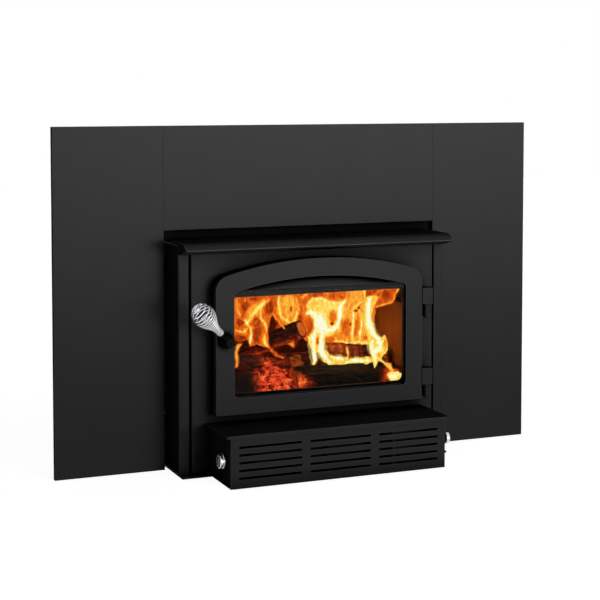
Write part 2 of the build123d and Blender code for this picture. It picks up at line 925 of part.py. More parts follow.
def blower_end(side):
    """End sheet, notched over the pan's ledge and pierced for what passes through it."""
    outer, inner = side * half_blower, side * blower_inner_half
    cut_outer, cut_inner = outer + side * past, inner - side * past
    sheet = block(inner, outer, blower_inner_front, plate_front, 0, blower_height)
    sheet -= block(cut_inner, cut_outer, pan_front - fit_clearance, plate_front + past,
                   -past, pan_thickness + fit_clearance)
    if side < 0:
        sheet -= rod_x(cut_inner, cut_outer, control_y, speed_height, speed_neck_radius)
        sheet -= rod_x(cut_inner, cut_outer, plate_front - grommet_forward, grommet_height,
                       grommet_radius)
    else:
        sheet -= rod_x(cut_inner, cut_outer, control_y, air_rod_height, air_rod_radius + fit_clearance)
    return sheet


def make_ash_shelf():
    """Folded tray over the blower that catches ash under the door."""
    half = half_blower + shelf_overhang_side
    front = blower_front - shelf_overhang_front
    tray = block(-half, half, front, plate_front, shelf_top - shelf_lip, shelf_top)
    tray = fillet(tray.edges().filter_by(Axis.Z).sort_by(Axis.Y)[:2], shelf_corner)
    hollow = block(-half + shelf_thickness, half - shelf_thickness, front + shelf_thickness,
                   plate_front + past, shelf_top - shelf_lip - past, blower_height)
    tray -= hollow
    return chamfer(tray.faces().sort_by(Axis.Z)[-1].edges().sort_by(Axis.Y)[0], shelf_thickness / 4)


def scroll(centre):
    """Round fan housing with a flat outlet back to the front plate."""
    def outline(inset):
        case = Pos(fan_y, fan_height) * Circle(scroll_radius - inset)
        low, high = fan_height - scroll_radius + inset, fan_height - scroll_radius + scroll_outlet - inset
        run = plate_front - fan_y + (past if inset else 0)
        duct = Pos(fan_y + run / 2, (low + high) / 2) * Rectangle(run, high - low)
        return case + duct
    half = scroll_width / 2
    outer = Pos(centre - half, 0, 0) * extrude(Plane.YZ * outline(0), scroll_width)
    inner = Pos(centre - half + scroll_sheet, 0, 0) * extrude(
        Plane.YZ * outline(scroll_sheet), scroll_width - 2 * scroll_sheet)
    inlet = rod_x(centre - half - past, centre + half + past, fan_y, fan_height, scroll_inlet_radius)
    return outer - inner - inlet


def make_fan_motor():
    """Motor body between the scrolls, on a foot that stands on the blower's floor."""
    half = motor_length / 2
    body = rod_x(fan_centre_x - half, fan_centre_x + half, fan_y, fan_height, motor_radius)
    foot = block(fan_centre_x - motor_foot / 2, fan_centre_x + motor_foot / 2,
                 fan_y - motor_foot / 2, fan_y + motor_foot / 2, blower_sheet, fan_height)
    bore = rod_x(fan_centre_x - half - past, fan_centre_x + half + past, fan_y, fan_height,
                 fan_shaft_radius + fit_clearance)
    return body + foot - bore


def make_fan_shaft():
    reach = motor_length / 2 + scroll_gap + scroll_width - (scroll_width - wheel_width) / 2
    return rod_x(fan_centre_x - reach, fan_centre_x + reach, fan_y, fan_height, fan_shaft_radius)


def fan_wheel(centre, side):
    """Squirrel-cage wheel whose disc faces the motor."""
    motor_end = centre - side * wheel_width / 2
    far_end = centre + side * wheel_width / 2
    disc = rod_x(motor_end, motor_end + side * wheel_sheet, fan_y, fan_height, wheel_radius)
    hub = rod_x(motor_end, motor_end + side * wheel_hub_length, fan_y, fan_height, wheel_hub_radius)
    rim = (rod_x(far_end - side * wheel_sheet, far_end, fan_y, fan_height, wheel_radius)
           - rod_x(far_end - side * (wheel_sheet + past), far_end + side * past, fan_y, fan_height,
                   wheel_radius - blade_depth))
    wheel = disc + hub + rim
    blade = Pos(0, 0, wheel_radius - blade_depth / 2) * Box(wheel_width, blade_thickness,
                                                            blade_depth - blade_relief)
    for i in range(blade_count):
        wheel += Pos(centre, fan_y, fan_height) * Rot(i * 360 / blade_count, 0, 0) * blade
    return wheel - rod_x(motor_end - side * past, far_end + side * past, fan_y, fan_height,
                         fan_shaft_radius)


def make_fan_wheels():
    left, right = scroll_centres()
    return group([fan_wheel(left, -1), fan_wheel(right, 1)])


# ---------------------------------------------------------------- controls

def make_speed_control():
    """Electronic speed control behind the left end sheet, held by a nut outside it."""
    face = -blower_inner_half
    body = block(face, face + speed_body_depth, control_y - speed_body_size / 2,
                 control_y + speed_body_size / 2, speed_height - speed_body_size / 2,
                 speed_height + speed_body_size / 2)
    neck = rod_x(-half_blower - speed_nut_length, face, control_y, speed_height, speed_neck_radius)
    nut = Pos(-half_blower, control_y, speed_height) * Rot(0, -90, 0) * extrude(
        RegularPolygon(speed_nut_radius, 6), speed_nut_length)
    bore = rod_x(-half_blower - speed_nut_length - past, face + speed_bore_depth, control_y,
                 speed_height, speed_shaft_radius + fit_clearance)
    return body + neck + nut - bore


def make_speed_knob():
    """Round knob with a pointer groove, on a shaft that enters the speed control."""
    seat = -half_blower - speed_knob_gap
    skirt = rod_x(seat, seat - speed_skirt_length, control_y, speed_height, speed_skirt_radius)
    face = seat - speed_knob_length
    body = rod_x(seat, face, control_y, speed_height, speed_knob_radius)
    knob = skirt + body
    knob = fillet(knob.faces().sort_by(Axis.X)[0].edges(), speed_knob_round)
    knob -= block(face - past, face + speed_pointer_depth, control_y - speed_pointer_width / 2,
                  control_y + speed_pointer_width / 2, speed_height,
                  speed_height + speed_knob_radius - speed_knob_round)
    stem = rod_x(seat, -blower_inner_half + speed_bore_depth - speed_stem_gap, control_y, speed_height,
                 speed_shaft_radius)
    return knob + stem


def make_cord_grommet():
    """Bushing in the left end sheet for the supply lead."""
    y, z = plate_front - grommet_forward, grommet_height
    barrel = rod_x(-half_blower, -blower_inner_half, y, z, grommet_radius)
    outer = rod_x(-half_blower - grommet_flange_thick, -half_blower, y, z, grommet_flange)
    inner = rod_x(-blower_inner_half, -blower_inner_half + grommet_flange_thick, y, z, grommet_flange)
    bore = rod_x(-half_blower - grommet_flange_thick - past,
                 -blower_inner_half + grommet_flange_thick + past, y, z, grommet_hole)
    return barrel + outer + inner - bore


def damper_span():
    """Left and right edge of the damper plate when it covers the port."""
    return port_left - damper_overlap, port_left + air_port_length + damper_overlap


def make_air_box():
    """Partition and port plate that close off the combustion air in the blower's right end."""
    wall = block(air_box_left, air_box_left + blower_sheet, blower_inner_front, plate_front,
                 blower_sheet, blower_height)
    wall -= block(air_box_left - past, air_box_left + blower_sheet + past, pan_front - fit_clearance,
                  plate_front + past, 0, pan_thickness + fit_clearance)
    plate = block(air_box_left, blower_inner_half, port_plate_y, port_plate_y + blower_sheet,
                  blower_sheet, blower_height)
    plate -= block(port_left, port_left + air_port_length, port_plate_y - past,
                   port_plate_y + blower_sheet + past, port_low, port_low + air_port_height)
    box = wall + plate
    rail_depth = damper_thickness + 2 * damper_gap + blower_sheet
    for z0, step in ((port_low - damper_overlap - damper_gap, -1),
                     (port_low + air_port_height + damper_overlap + damper_gap, 1)):
        box += block(air_box_left, blower_inner_half, port_plate_y - rail_depth, port_plate_y,
                     z0, z0 + step * blower_sheet)
    return box


def make_damper_plate():
    """Plate that slides across the air port, with a tab for the pull rod."""
    left, right = damper_span()
    front = port_plate_y - damper_gap - damper_thickness
    plate = block(left, right, front, front + damper_thickness, port_low - damper_overlap,
                  port_low + air_port_height + damper_overlap)
    tab = block(left, left + damper_tab, control_y - 1.5 * air_rod_radius, front,
                air_rod_height - 2 * air_rod_radius, air_rod_height + 2 * air_rod_radius)
    hole = rod_x(left - past, left + damper_tab + past, control_y, air_rod_height, air_rod_radius)
    return plate + tab - hole


def make_air_rod():
    left = damper_span()[0]
    return rod_x(left, half_blower + air_knob_gap + air_knob_length / 2, control_y, air_rod_height,
                 air_rod_radius)


def make_air_knob():
    """Round pull knob on the rod's outer end."""
    start = half_blower + air_knob_gap
    knob = rod_x(start, start + air_knob_length, control_y, air_rod_height, air_knob_radius)
    knob = fillet(knob.edges().filter_by(GeomType.CIRCLE), air_knob_length / 4)
    return knob - rod_x(start - past, start + air_knob_length / 2, control_y, air_rod_height, air_rod_radius)


# ---------------------------------------------------------------- fire

def coal_heap(x0, x1, rear_rise):
    """Heap of coals between two places across, which rises toward the rear log."""
    front = brick_front + bed_side_gap + heap_margin
    rear = rear_log_y - rear_log_radius - heap_gap
    crest = bed_top + heap_front_rise
    outline = Polyline((front, hearth_level), (front, bed_top), (front + heap_gap, crest),
                       (rear - heap_gap, bed_top + rear_rise), (rear, hearth_level), close=True)
    return Pos(x0, 0, 0) * extrude(Plane.YZ * make_face(outline), x1 - x0)


def make_ember_bed():
    """Low bed of ash on the floor bricks, with a heap of coals in the gap between the front logs."""
    half = brick_inner - bed_side_gap
    bed = block(-half, half, brick_front + bed_side_gap, brick_rear - bed_rear_gap,
                hearth_level, bed_top)
    bed = fillet(bed.faces().sort_by(Axis.Z)[-1].edges(), bed_round)
    middle = -upper_left_end + heap_gap
    bed += coal_heap(-left_log_end + heap_side_gap, middle, heap_low_rise)
    return bed + coal_heap(middle, -right_log_end - heap_side_gap, heap_rear_rise)


def split_log(start, end, radius):
    """A log as a slightly tapered prism with uneven sides between two points."""
    run = [b - a for a, b in zip(start, end)]
    length = math.sqrt(sum(d * d for d in run))
    sides = [(radius * (1 - log_facet * (i % 3)), 360 * i / log_sides) for i in range(log_sides)]
    ring = [(r * math.cos(math.radians(a)), r * math.sin(math.radians(a))) for r, a in sides]
    small = [(x * log_taper, y * log_taper) for x, y in ring]
    near = make_face(Polyline(*ring, close=True))
    far = Pos(0, 0, length) * make_face(Polyline(*small, close=True))
    return Plane(origin=start, z_dir=tuple(run)) * loft([near, far])


def valley(front_y, radius):
    """Y and Z of the axis of a log that lies between a front log and the rear log."""
    to_front, to_rear = front_log_radius + radius, rear_log_radius + radius
    run, rise = rear_log_y - front_y, rear_log_z - front_log_z
    apart = math.hypot(run, rise)
    along = (to_front ** 2 - to_rear ** 2 + apart ** 2) / (2 * apart)
    above = math.sqrt(to_front ** 2 - along ** 2)
    y = front_y + (along * run - above * rise) / apart
    z = front_log_z + (along * rise + above * run) / apart
    return y, z


def make_lower_logs():
    """Two logs at the front of the bed and a longer one behind them."""
    near_y = front_log_y - front_log_skew
    return group([
        split_log((-log_reach, front_log_y, front_log_z), (-left_log_end, near_y, front_log_z),
                  front_log_radius),
        split_log((-right_log_end, front_log_y, front_log_z), (log_reach, near_y, front_log_z),
                  front_log_radius),
        split_log((-log_reach, rear_log_y, rear_log_z), (log_reach, rear_log_y, rear_log_z),
                  rear_log_radius),
    ])


def make_upper_logs():
    """Two logs in the hollow between the lower ones, and one that leans forward over the rear log."""
    outer_rest = valley(front_log_y, upper_log_radius)
    inner_rest = valley(front_log_y - front_log_skew, upper_log_radius)
    left = split_log((-log_reach, *outer_rest), (-upper_left_end, *inner_rest), upper_log_radius)
    right = split_log((upper_right_end, *outer_rest), (log_reach, *inner_rest), upper_log_radius)
    foot_y, foot_z = plate_back + lean_log_setback, bed_top + lean_log_radius
    run, rise = foot_y - rear_log_y, rear_log_z - foot_z
    over = math.asin((rear_log_radius + lean_log_radius) / math.hypot(run, rise))
    lift = math.tan(math.atan2(rise, run) + over)
    aside = math.tan(math.radians(lean_log_turn))
    forward = lean_log_length / math.sqrt(1 + lift ** 2 + aside ** 2)
    head = (-lean_log_foot + forward * aside, foot_y - forward, foot_z + forward * lift)
    lean = split_log((-lean_log_foot, foot_y, foot_z), head, lean_log_radius)
    return group([left, right, lean])


def flame(x0, x1, tips):
    """A thin upright sheet of flame, whose top edge runs through tips given as shares of its size."""
    front = rear_log_y + rear_log_radius + flame_gap
    line = [(x0 + (x1 - x0) * across, bed_top + flame_height * up) for across, up in tips]
    outline = Polyline((x0, bed_top), *line, (x1, bed_top), close=True)
    return slab_y(make_face(Plane.XY * outline), front, front + flame_sheet)


def make_flames():
    """Two thin sheets on the ember bed behind the rear log, left and right of the leaning log."""
    reach = brick_inner - flame_side_gap
    left_tips = [(0.0, 0.72), (0.12, 0.95), (0.25, 0.78), (0.42, 0.90), (0.58, 1.0), (0.72, 0.82),
                 (0.90, 0.94), (1.0, 0.70)]
    right_tips = [(0.0, 0.74), (0.10, 0.90), (0.20, 0.80), (0.34, 1.0), (0.46, 0.84), (0.58, 0.97),
                  (0.70, 0.82), (0.83, 1.0), (0.93, 0.80), (1.0, 0.60)]
    return group([flame(-reach, -flame_split_left, left_tips),
                  flame(-flame_split_right, reach, right_tips)])


# ---------------------------------------------------------------- all pieces

sub_parts = {
    "surround_left": make_surround_left,
    "surround_right": make_surround_right,
    "surround_top": make_surround_top,
    "surround_brackets": make_surround_brackets,
    "panel_screws": make_panel_screws,
    "closure_angle": make_closure_angle,
    "base_pan": make_base_pan,
    "casing_left": lambda: casing_side(-1),
    "casing_right": lambda: casing_side(1),
    "casing_back": make_casing_back,
    "casing_top": make_casing_top,
    "front_plate": make_front_plate,
    "cornice": make_cornice,
    "support_legs": make_support_legs,
    "firebox_floor": make_firebox_floor,
    "firebox_left_wall": lambda: firebox_side(-1),
    "firebox_right_wall": lambda: firebox_side(1),
    "firebox_back_wall": make_firebox_back,
    "firebox_top": make_firebox_top,
    "flue_collar": make_flue_collar,
    "floor_bricks": make_floor_bricks,
    "left_bricks": lambda: side_bricks(-1),
    "right_bricks": lambda: side_bricks(1),
    "back_bricks": make_back_bricks,
    "air_tubes": make_air_tubes,
    "baffle_boards": make_baffle_boards,
    "wash_deflector": make_wash_deflector,
    "door_frame": make_door_frame,
    "door_glass": make_door_glass,
    "glass_gasket": make_glass_gasket,
    "glass_clips": make_glass_clips,
    "clip_screws": make_clip_screws,
    "door_gasket": make_door_gasket,
    "hinge_blocks": make_hinge_blocks,
    "hinge_lugs": make_hinge_lugs,
    "hinge_pins": make_hinge_pins,
    "handle_bush": make_handle_bush,
    "latch_shaft": make_latch_shaft,
    "handle_arm": make_handle_arm,
    "spring_grip": make_spring_grip,
    "blower_floor": make_blower_floor,
    "blower_grille": make_blower_grille,
    "blower_left_end": lambda: blower_end(-1),
    "blower_right_end": lambda: blower_end(1),
    "ash_shelf": make_ash_shelf,
    "fan_scrolls": lambda: group([scroll(centre) for centre in scroll_centres()]),
    "fan_motor": make_fan_motor,
    "fan_shaft": make_fan_shaft,
    "fan_wheels": make_fan_wheels,
    "speed_control": make_speed_control,
    "speed_knob": make_speed_knob,
    "cord_grommet": make_cord_grommet,
    "air_box": make_air_box,
    "damper_plate": make_damper_plate,
    "air_rod": make_air_rod,
    "air_knob": make_air_knob,
    "ember_bed": make_ember_bed,
    "lower_logs": make_lower_logs,
    "upper_logs": make_upper_logs,
    "flames": make_flames,
}

os.makedirs("parts", exist_ok=True)
for name, make in sub_parts.items():
    save(name, make())
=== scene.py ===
# %% [markdown]
# A wood-burning fireplace insert: a black steel surround, a cast door with a ceramic pane, a blower
# below it and a wood fire inside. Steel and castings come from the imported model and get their
# finishes here. What solids can't show well is modelled anew: the handle's coiled wire, the rope
# seal, the logs, the embers and the flames.

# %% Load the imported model
import json
import math
import random

import bmesh
import bpy
import numpy as np
from mathutils import Matrix, Vector, noise


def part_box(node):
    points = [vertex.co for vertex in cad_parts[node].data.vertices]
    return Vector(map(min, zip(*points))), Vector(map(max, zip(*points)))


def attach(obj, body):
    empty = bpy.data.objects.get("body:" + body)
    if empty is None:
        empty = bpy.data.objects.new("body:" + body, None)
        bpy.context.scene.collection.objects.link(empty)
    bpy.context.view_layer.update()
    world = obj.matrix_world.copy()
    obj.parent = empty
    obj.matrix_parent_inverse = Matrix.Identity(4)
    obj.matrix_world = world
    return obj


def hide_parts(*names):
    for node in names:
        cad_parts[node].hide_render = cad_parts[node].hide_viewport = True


noise.seed_set(7)
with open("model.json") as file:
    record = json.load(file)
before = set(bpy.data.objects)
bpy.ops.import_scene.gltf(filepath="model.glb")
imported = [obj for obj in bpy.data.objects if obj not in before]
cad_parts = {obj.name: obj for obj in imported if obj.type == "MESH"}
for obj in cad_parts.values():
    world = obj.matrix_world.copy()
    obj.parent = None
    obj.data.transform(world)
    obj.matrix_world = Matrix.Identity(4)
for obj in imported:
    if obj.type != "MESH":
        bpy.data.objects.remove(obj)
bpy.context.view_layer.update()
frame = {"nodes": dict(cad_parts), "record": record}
nodes = frame["nodes"]

# %% [markdown]
# The camera stands left of the insert, a little above it. Most of the framing is a lens shift, so
# that upright lines stay nearly upright, and a small tilt does the rest.

# %% Camera
tilt_down, turn_right = 3.443, 22.5
lens_data = bpy.data.cameras.new("camera")
lens_data.lens = 90.81
lens_data.shift_y = -0.2
camera = bpy.data.objects.new("camera", lens_data)
camera.location = (-1.2766, -3.0642, 0.8144)
camera.rotation_euler = (math.radians(90 - tilt_down), 0, math.radians(-turn_right))
scene = bpy.context.scene
scene.collection.objects.link(camera)
scene.camera = camera
scene.view_settings.view_transform = "Standard"
print("camera distance", round(camera.location.length, 2), "m")

# %% [markdown]
# A finish is a tree of nodes. In code such trees get long, so a few helpers keep them readable. The
# first ones add a node, fill or link its inputs, and do arithmetic.

# %% Helpers for nodes
def wire(socket, value):
    """Link a socket, or set its plain value."""
    if isinstance(value, bpy.types.NodeSocket):
        socket.id_data.links.new(value, socket)
    else:
        socket.default_value = value


def add_node(tree, kind, inputs=None, **settings):
    node = tree.nodes.new("ShaderNode" + kind)
    for name, value in settings.items():
        setattr(node, name, value)
    for name, value in (inputs or {}).items():
        wire(node.inputs[name], value)
    return node


def calc(tree, operation, a, b=0.0, clamp=False):
    node = add_node(tree, "Math", operation=operation, use_clamp=clamp)
    wire(node.inputs[0], a)
    wire(node.inputs[1], b)
    return node.outputs[0]


def plus(tree, a, b):
    return calc(tree, "ADD", a, b)


def times(tree, a, b):
    return calc(tree, "MULTIPLY", a, b)


print("node helpers ready")

# %% [markdown]
# The next helpers make patterns: noise, a stretched space for it, a value spread over a new range or
# turned into colours, and thin crests where a noise crosses its middle. A number stored on a mesh's
# points can be read too, so that burning wood knows where it is hot.

# %% Helpers for patterns
def grain(tree, where, scale, detail=3.0, rough=0.55, warp=0.0):
    inputs = {"Vector": where, "Scale": scale, "Detail": detail, "Roughness": rough, "Distortion": warp}
    return add_node(tree, "TexNoise", inputs).outputs["Fac"]


def stretched(tree, where, scale):
    return add_node(tree, "Mapping", {"Vector": where, "Scale": scale}).outputs[0]


def spread(tree, value, low, high, to_low=0.0, to_high=1.0):
    inputs = {"Value": value, "From Min": low, "From Max": high, "To Min": to_low, "To Max": to_high}
    return add_node(tree, "MapRange", inputs).outputs[0]


def crests(tree, value, sharpness):
    away = calc(tree, "ABSOLUTE", spread(tree, value, 0.3, 0.7, -1.0, 1.0))
    return calc(tree, "POWER", calc(tree, "SUBTRACT", 1.0, away, True), sharpness)


def tint(tree, value, stops):
    """A colour ramp from (place, colour) pairs."""
    node = add_node(tree, "ValToRGB", {"Fac": value})
    ramp = node.color_ramp.elements
    while len(ramp) < len(stops):
        ramp.new(0.5)
    for stop, (place, colour) in zip(ramp, stops):
        stop.position = place
        stop.color = (*colour, 1)
    return node.outputs[0]


def blend(tree, share, a, b):
    node = add_node(tree, "Mix", data_type="RGBA")
    wire(node.inputs["Factor"], share)
    for socket, value in ((node.inputs[6], a), (node.inputs[7], b)):
        wire(socket, value if isinstance(value, bpy.types.NodeSocket) else (*value, 1))
    return node.outputs[2]


def held(tree, name):
    return add_node(tree, "Attribute", attribute_name=name).outputs["Fac"]


print("pattern helpers ready")

# %% [markdown]
# Every finish is one Principled shader. What is the same all over is set on its sockets, and what
# varies is wired in. Real corners are never sharp, so the relief can ease them with a small bevel
# that only the light sees.

# %% Helpers for finishes
finishes = {}


def lay(skin, **values):
    """Set or wire a shader's sockets by name, with _ for a space."""
    for name, value in values.items():
        wire(skin.inputs[name.replace("_", " ")], value)


def new_finish(name, **plain):
    material = finishes[name] = bpy.data.materials.new(name)
    material.use_nodes = True
    tree = material.node_tree
    tree.nodes.clear()
    skin = add_node(tree, "BsdfPrincipled")
    lay(skin, **plain)
    add_node(tree, "OutputMaterial", {"Surface": skin.outputs[0]})
    return tree, skin, add_node(tree, "TexCoord").outputs["Object"]


def eased_corner(tree, radius):
    return add_node(tree, "Bevel", {"Radius": radius}, samples=4).outputs[0]


def relief(tree, skin, height, depth, edge=None):
    """Bump of a height in metres, over eased corners."""
    inputs = {"Height": height, "Distance": depth, "Strength": 1.0}
    if edge:
        inputs["Normal"] = eased_corner(tree, edge)
    lay(skin, Normal=add_node(tree, "Bump", inputs).outputs[0])


def grey(level):
    return (level, level, level * 1.02)


print("finish helpers ready")

# %% [markdown]
# Stove paint is almost black, and the eye sees mostly a weak, wide reflection of the room. A slow
# cloud in the roughness and a fine grain in the height keep large panels from looking like plastic,
# and edges are painted lighter, a painted highlight. Corners, recesses and places beside and under
# parts are painted darker by ambient occlusion, a painted shade in the colour and the reflection:
# closed holds how open a place is where it is darkest and where it is lightest, the power of the
# fade between, and the least that is left.

# %% Black paint
def black_paint(name, tone, roughness, level, grain_scale, grain_depth, edge=0.0012,
                closed=(0.3, 0.85, 1.0, 0.02), shade=0.06, shine=0.22):
    tree, skin, here = new_finish(name)
    shut, open_wide, power, least = closed
    # Painted shade: ambient occlusion darkens the colour and the reflection in corners and recesses.
    painted_shade = add_node(tree, "AmbientOcclusion", {"Distance": shade}, samples=16).outputs["AO"]
    painted_shade = calc(tree, "POWER", spread(tree, painted_shade, shut, open_wide, least, 1.0), power)
    cloud = grain(tree, here, 7.0, 4.0)
    speck = grain(tree, here, grain_scale, 2.0)
    flat = add_node(tree, "NewGeometry").outputs["True Normal"]
    facing = add_node(tree, "VectorMath", {0: eased_corner(tree, edge), 1: flat},
                      operation="DOT_PRODUCT").outputs["Value"]
    # Painted highlight: eased edges get a lighter colour, with a little more gloss and less roughness.
    painted_edge_highlight = spread(tree, facing, 0.995, 0.92)
    slant = add_node(tree, "LayerWeight", {"Blend": 0.5}).outputs["Facing"]
    gloss = plus(tree, spread(tree, slant, 0.15, 0.55, level, 0.0), times(tree, painted_edge_highlight, shine))
    mottle = {0: blend(tree, painted_edge_highlight, grey(tone), grey(tone * 3.0)),
              "Scale": times(tree, spread(tree, cloud, 0.3, 0.7, 0.92, 1.08), painted_shade)}
    rough = spread(tree, cloud, 0.3, 0.7, roughness - 0.03, roughness + 0.03)
    rough = plus(tree, rough, times(tree, painted_edge_highlight, -0.12))
    rough = plus(tree, rough, spread(tree, speck, 0.3, 0.7, -0.03, 0.03))
    lay(skin, Specular_IOR_Level=times(tree, gloss, painted_shade), Roughness=rough,
        Base_Color=add_node(tree, "VectorMath", mottle, operation="SCALE").outputs[0])
    relief(tree, skin, speck, grain_depth, edge)


# closed and shade set each paint's painted shade; on the casting it is short and strong, which darkens
# the recess under the arch.
black_paint("surround_paint", 0.039, 0.5, 0.065, 900.0, 0.00004, closed=(0.15, 0.5, 1.0, 0.02))
black_paint("stove_paint", 0.036, 0.52, 0.07, 700.0, 0.00006, closed=(0.15, 0.85, 1.6, 0.28))
black_paint("cast_iron", 0.04, 0.52, 0.07, 420.0, 0.00012, edge=0.0026,
            closed=(0.84, 1.0, 2.0, 0.02), shade=0.022, shine=0.14)
# arm_paint is nearly black: the arm's own colour, and on the closure strip above the casing a painted
# shade.
black_paint("arm_paint", 0.003, 0.45, 0.03, 600.0, 0.00004)
black_paint("control_plastic", 0.012, 0.4, 0.1, 1200.0, 0.00003, edge=0.0006)
print("finishes", len(finishes))

# %% [markdown]
# Inside the firebox nothing stays clean: steel goes grey with soot and stainless tubes take straw
# and blue heat tints. The bricks are coloured a saturated orange-brown, a painted glow that stands
# in for the fire's light on them. Each finish mixes its colours by noise at the size of real stains.

# %% Firebox finishes
def stained(name, stops, scale, roughness, relief_scale, height, metal=0.0, level=0.1, warp=0.0):
    tree, skin, here = new_finish(name, Metallic=metal, Specular_IOR_Level=level)
    stain = grain(tree, here, scale, 5.0, 0.6, warp)
    lay(skin, Base_Color=tint(tree, stain, stops),
        Roughness=spread(tree, stain, 0.3, 0.7, roughness - 0.08, roughness + 0.08))
    relief(tree, skin, grain(tree, here, relief_scale, 5.0, 0.65), height, 0.001)


stained("heat_steel", [(0.3, (0.045, 0.044, 0.043)), (0.7, (0.07, 0.068, 0.066))],
        14.0, 0.8, 300.0, 0.0003)
stained("stainless_tube", [(0.35, (0.24, 0.16, 0.09)), (0.5, (0.32, 0.26, 0.22)),
                           (0.65, (0.13, 0.12, 0.16))],
        22.0, 0.4, 500.0, 0.0002, metal=1.0, level=0.5, warp=0.6)
# The firebrick's orange-brown is painted firelight.
stained("firebrick", [(0.3, (0.085, 0.025, 0.003)), (0.55, (0.13, 0.043, 0.005)),
                      (0.8, (0.19, 0.07, 0.01))],
        9.0, 0.9, 160.0, 0.0012, level=0.05)
stained("baffle_board", [(0.35, (0.16, 0.13, 0.1)), (0.65, (0.55, 0.49, 0.4))],
        11.0, 0.95, 240.0, 0.0008)
# Zinc and fan metal are nearly black: a painted shade for the dark inside of the blower.
stained("zinc_steel", [(0.3, (0.014, 0.014, 0.015)), (0.7, (0.026, 0.026, 0.025))],
        160.0, 0.5, 900.0, 0.00004, metal=1.0, level=0.5)
stained("fan_metal", [(0.3, (0.02, 0.019, 0.018)), (0.7, (0.045, 0.043, 0.04))],
        40.0, 0.6, 700.0, 0.0001)
print("finishes", len(finishes))

# %% [markdown]
# The knobs and the handle's wire are nickel plated. A bright metal has hardly any colour pattern, so
# its life is in the roughness: fine turning marks on a knob, drawn streaks on wire.

# %% Bright metal
def bright_metal(name, tone, roughness, streaks):
    tree, skin, here = new_finish(name, Metallic=1.0)
    marks = grain(tree, stretched(tree, here, streaks), 1.0, 4.0)
    lay(skin, Base_Color=tint(tree, marks, [(0.3, grey(tone * 0.85)), (0.7, grey(tone))]),
        Roughness=spread(tree, marks, 0.3, 0.7, roughness - 0.06, roughness + 0.06))
    relief(tree, skin, marks, 0.00004)


bright_metal("knob_metal", 0.72, 0.24, (90.0, 1400.0, 1400.0))
bright_metal("spring_steel", 0.82, 0.22, (500.0, 500.0, 500.0))
print("finishes", len(finishes))

# %% [markdown]
# The pane is glass ceramic, faintly warm. It is set as clear glass with a low index, because a
# stronger mirror would wash out the dark parts of the fire.

# %% Pane
tree, skin, here = new_finish("pane", Transmission_Weight=1.0, IOR=1.06, Roughness=0.0)
film = [(0.3, (0.98, 0.965, 0.94)), (0.7, (0.95, 0.935, 0.91))]
lay(skin, Base_Color=tint(tree, grain(tree, here, 30.0), film))
print("finishes", len(finishes))

# %% [markdown]
# Rope seals are knitted glass fibre with graphite, dark grey and matt, and the tape under the pane
# is the same stuff. Two crossed waves give the knit its diagonal ribs.

# %% Seal finish
tree, skin, here = new_finish("seal", Roughness=0.95, Specular_IOR_Level=0.1,
                              Sheen_Weight=0.3, Sheen_Roughness=0.6)
ribs = [add_node(tree, "TexWave", {"Vector": stretched(tree, here, direction), "Scale": 60.0,
                                   "Distortion": 1.0}, bands_direction="DIAGONAL").outputs["Fac"]
        for direction in ((1.0, 1.0, 1.0), (1.0, 1.0, -1.0))]
knit = calc(tree, "MAXIMUM", *ribs)
lay(skin, Base_Color=tint(tree, knit, [(0.2, grey(0.024)), (0.9, grey(0.06))]))
relief(tree, skin, knit, 0.0006)
print("finishes", len(finishes))

# %% [markdown]
# Each log's mesh stores how hot and how charred it is, how deep its cracks are and where it is
# freshly cut. The finish reads these numbers: cold char is black, half-burnt wood is red-brown, and
# hot places glow in veins.

# %% Wood and ember finishes
def burning(name, glow_stops):
    tree, skin, here = new_finish(name, Specular_IOR_Level=0.15, Roughness=0.9,
                                  Emission_Strength=1.0)
    hot, char, crack, cut = (held(tree, key) for key in ("hot", "char", "crack", "cut"))
    mottle = grain(tree, here, 60.0, 5.0, 0.65)
    fine = grain(tree, here, 260.0, 4.0, 0.6)
    wood = tint(tree, mottle, [(0.3, (0.03, 0.007, 0.003)), (0.7, (0.15, 0.04, 0.016))])
    coal = tint(tree, fine, [(0.35, (0.002, 0.0015, 0.0015)), (0.62, (0.005, 0.004, 0.0035)),
                             (0.85, (0.018, 0.015, 0.013))])
    sawn = tint(tree, mottle, [(0.3, (0.24, 0.06, 0.01)), (0.7, (0.55, 0.19, 0.035))])
    surface = blend(tree, cut, blend(tree, char, wood, coal), sawn)
    surface = blend(tree, times(tree, crack, 0.85), surface, (0.004, 0.003, 0.003))
    veins = crests(tree, grain(tree, here, 95.0, 3.0, 0.5, 0.8), 7.0)
    flicker = plus(tree, spread(tree, mottle, 0.35, 0.65, -0.3, 0.22),
                   spread(tree, fine, 0.35, 0.65, -0.1, 0.1))
    flicker = plus(tree, flicker, times(tree, veins, 0.38))
    alive = spread(tree, hot, 0.03, 0.45)
    glow = plus(tree, hot, times(tree, flicker, alive))
    glow = calc(tree, "SUBTRACT", glow, times(tree, crack, 0.4))
    lay(skin, Base_Color=surface, Emission_Color=tint(tree, glow, glow_stops))
    relief(tree, skin, plus(tree, mottle, times(tree, fine, 0.4)), 0.0016)


cold = (0.0, (0.0, 0.0, 0.0))
burning("charred_wood", [cold, (0.25, (0.07, 0.004, 0.001)), (0.5, (0.4, 0.028, 0.004)),
                         (0.75, (0.9, 0.11, 0.012)), (1.0, (1.0, 0.42, 0.07))])
burning("embers", [cold, (0.25, (0.06, 0.003, 0.001)), (0.5, (0.36, 0.018, 0.006)),
                   (0.75, (0.78, 0.048, 0.011)), (1.0, (1.0, 0.16, 0.035))])
print("finishes", len(finishes))

# %% [markdown]
# Flames are sheets of burning gas, bright where a sheet folds and dark red where it thins out. A
# volume would look right but can't leave Blender, so they are thin wavy meshes that store how hot
# and how dense they are. The finish adds licks and folds and turns heat into colour.

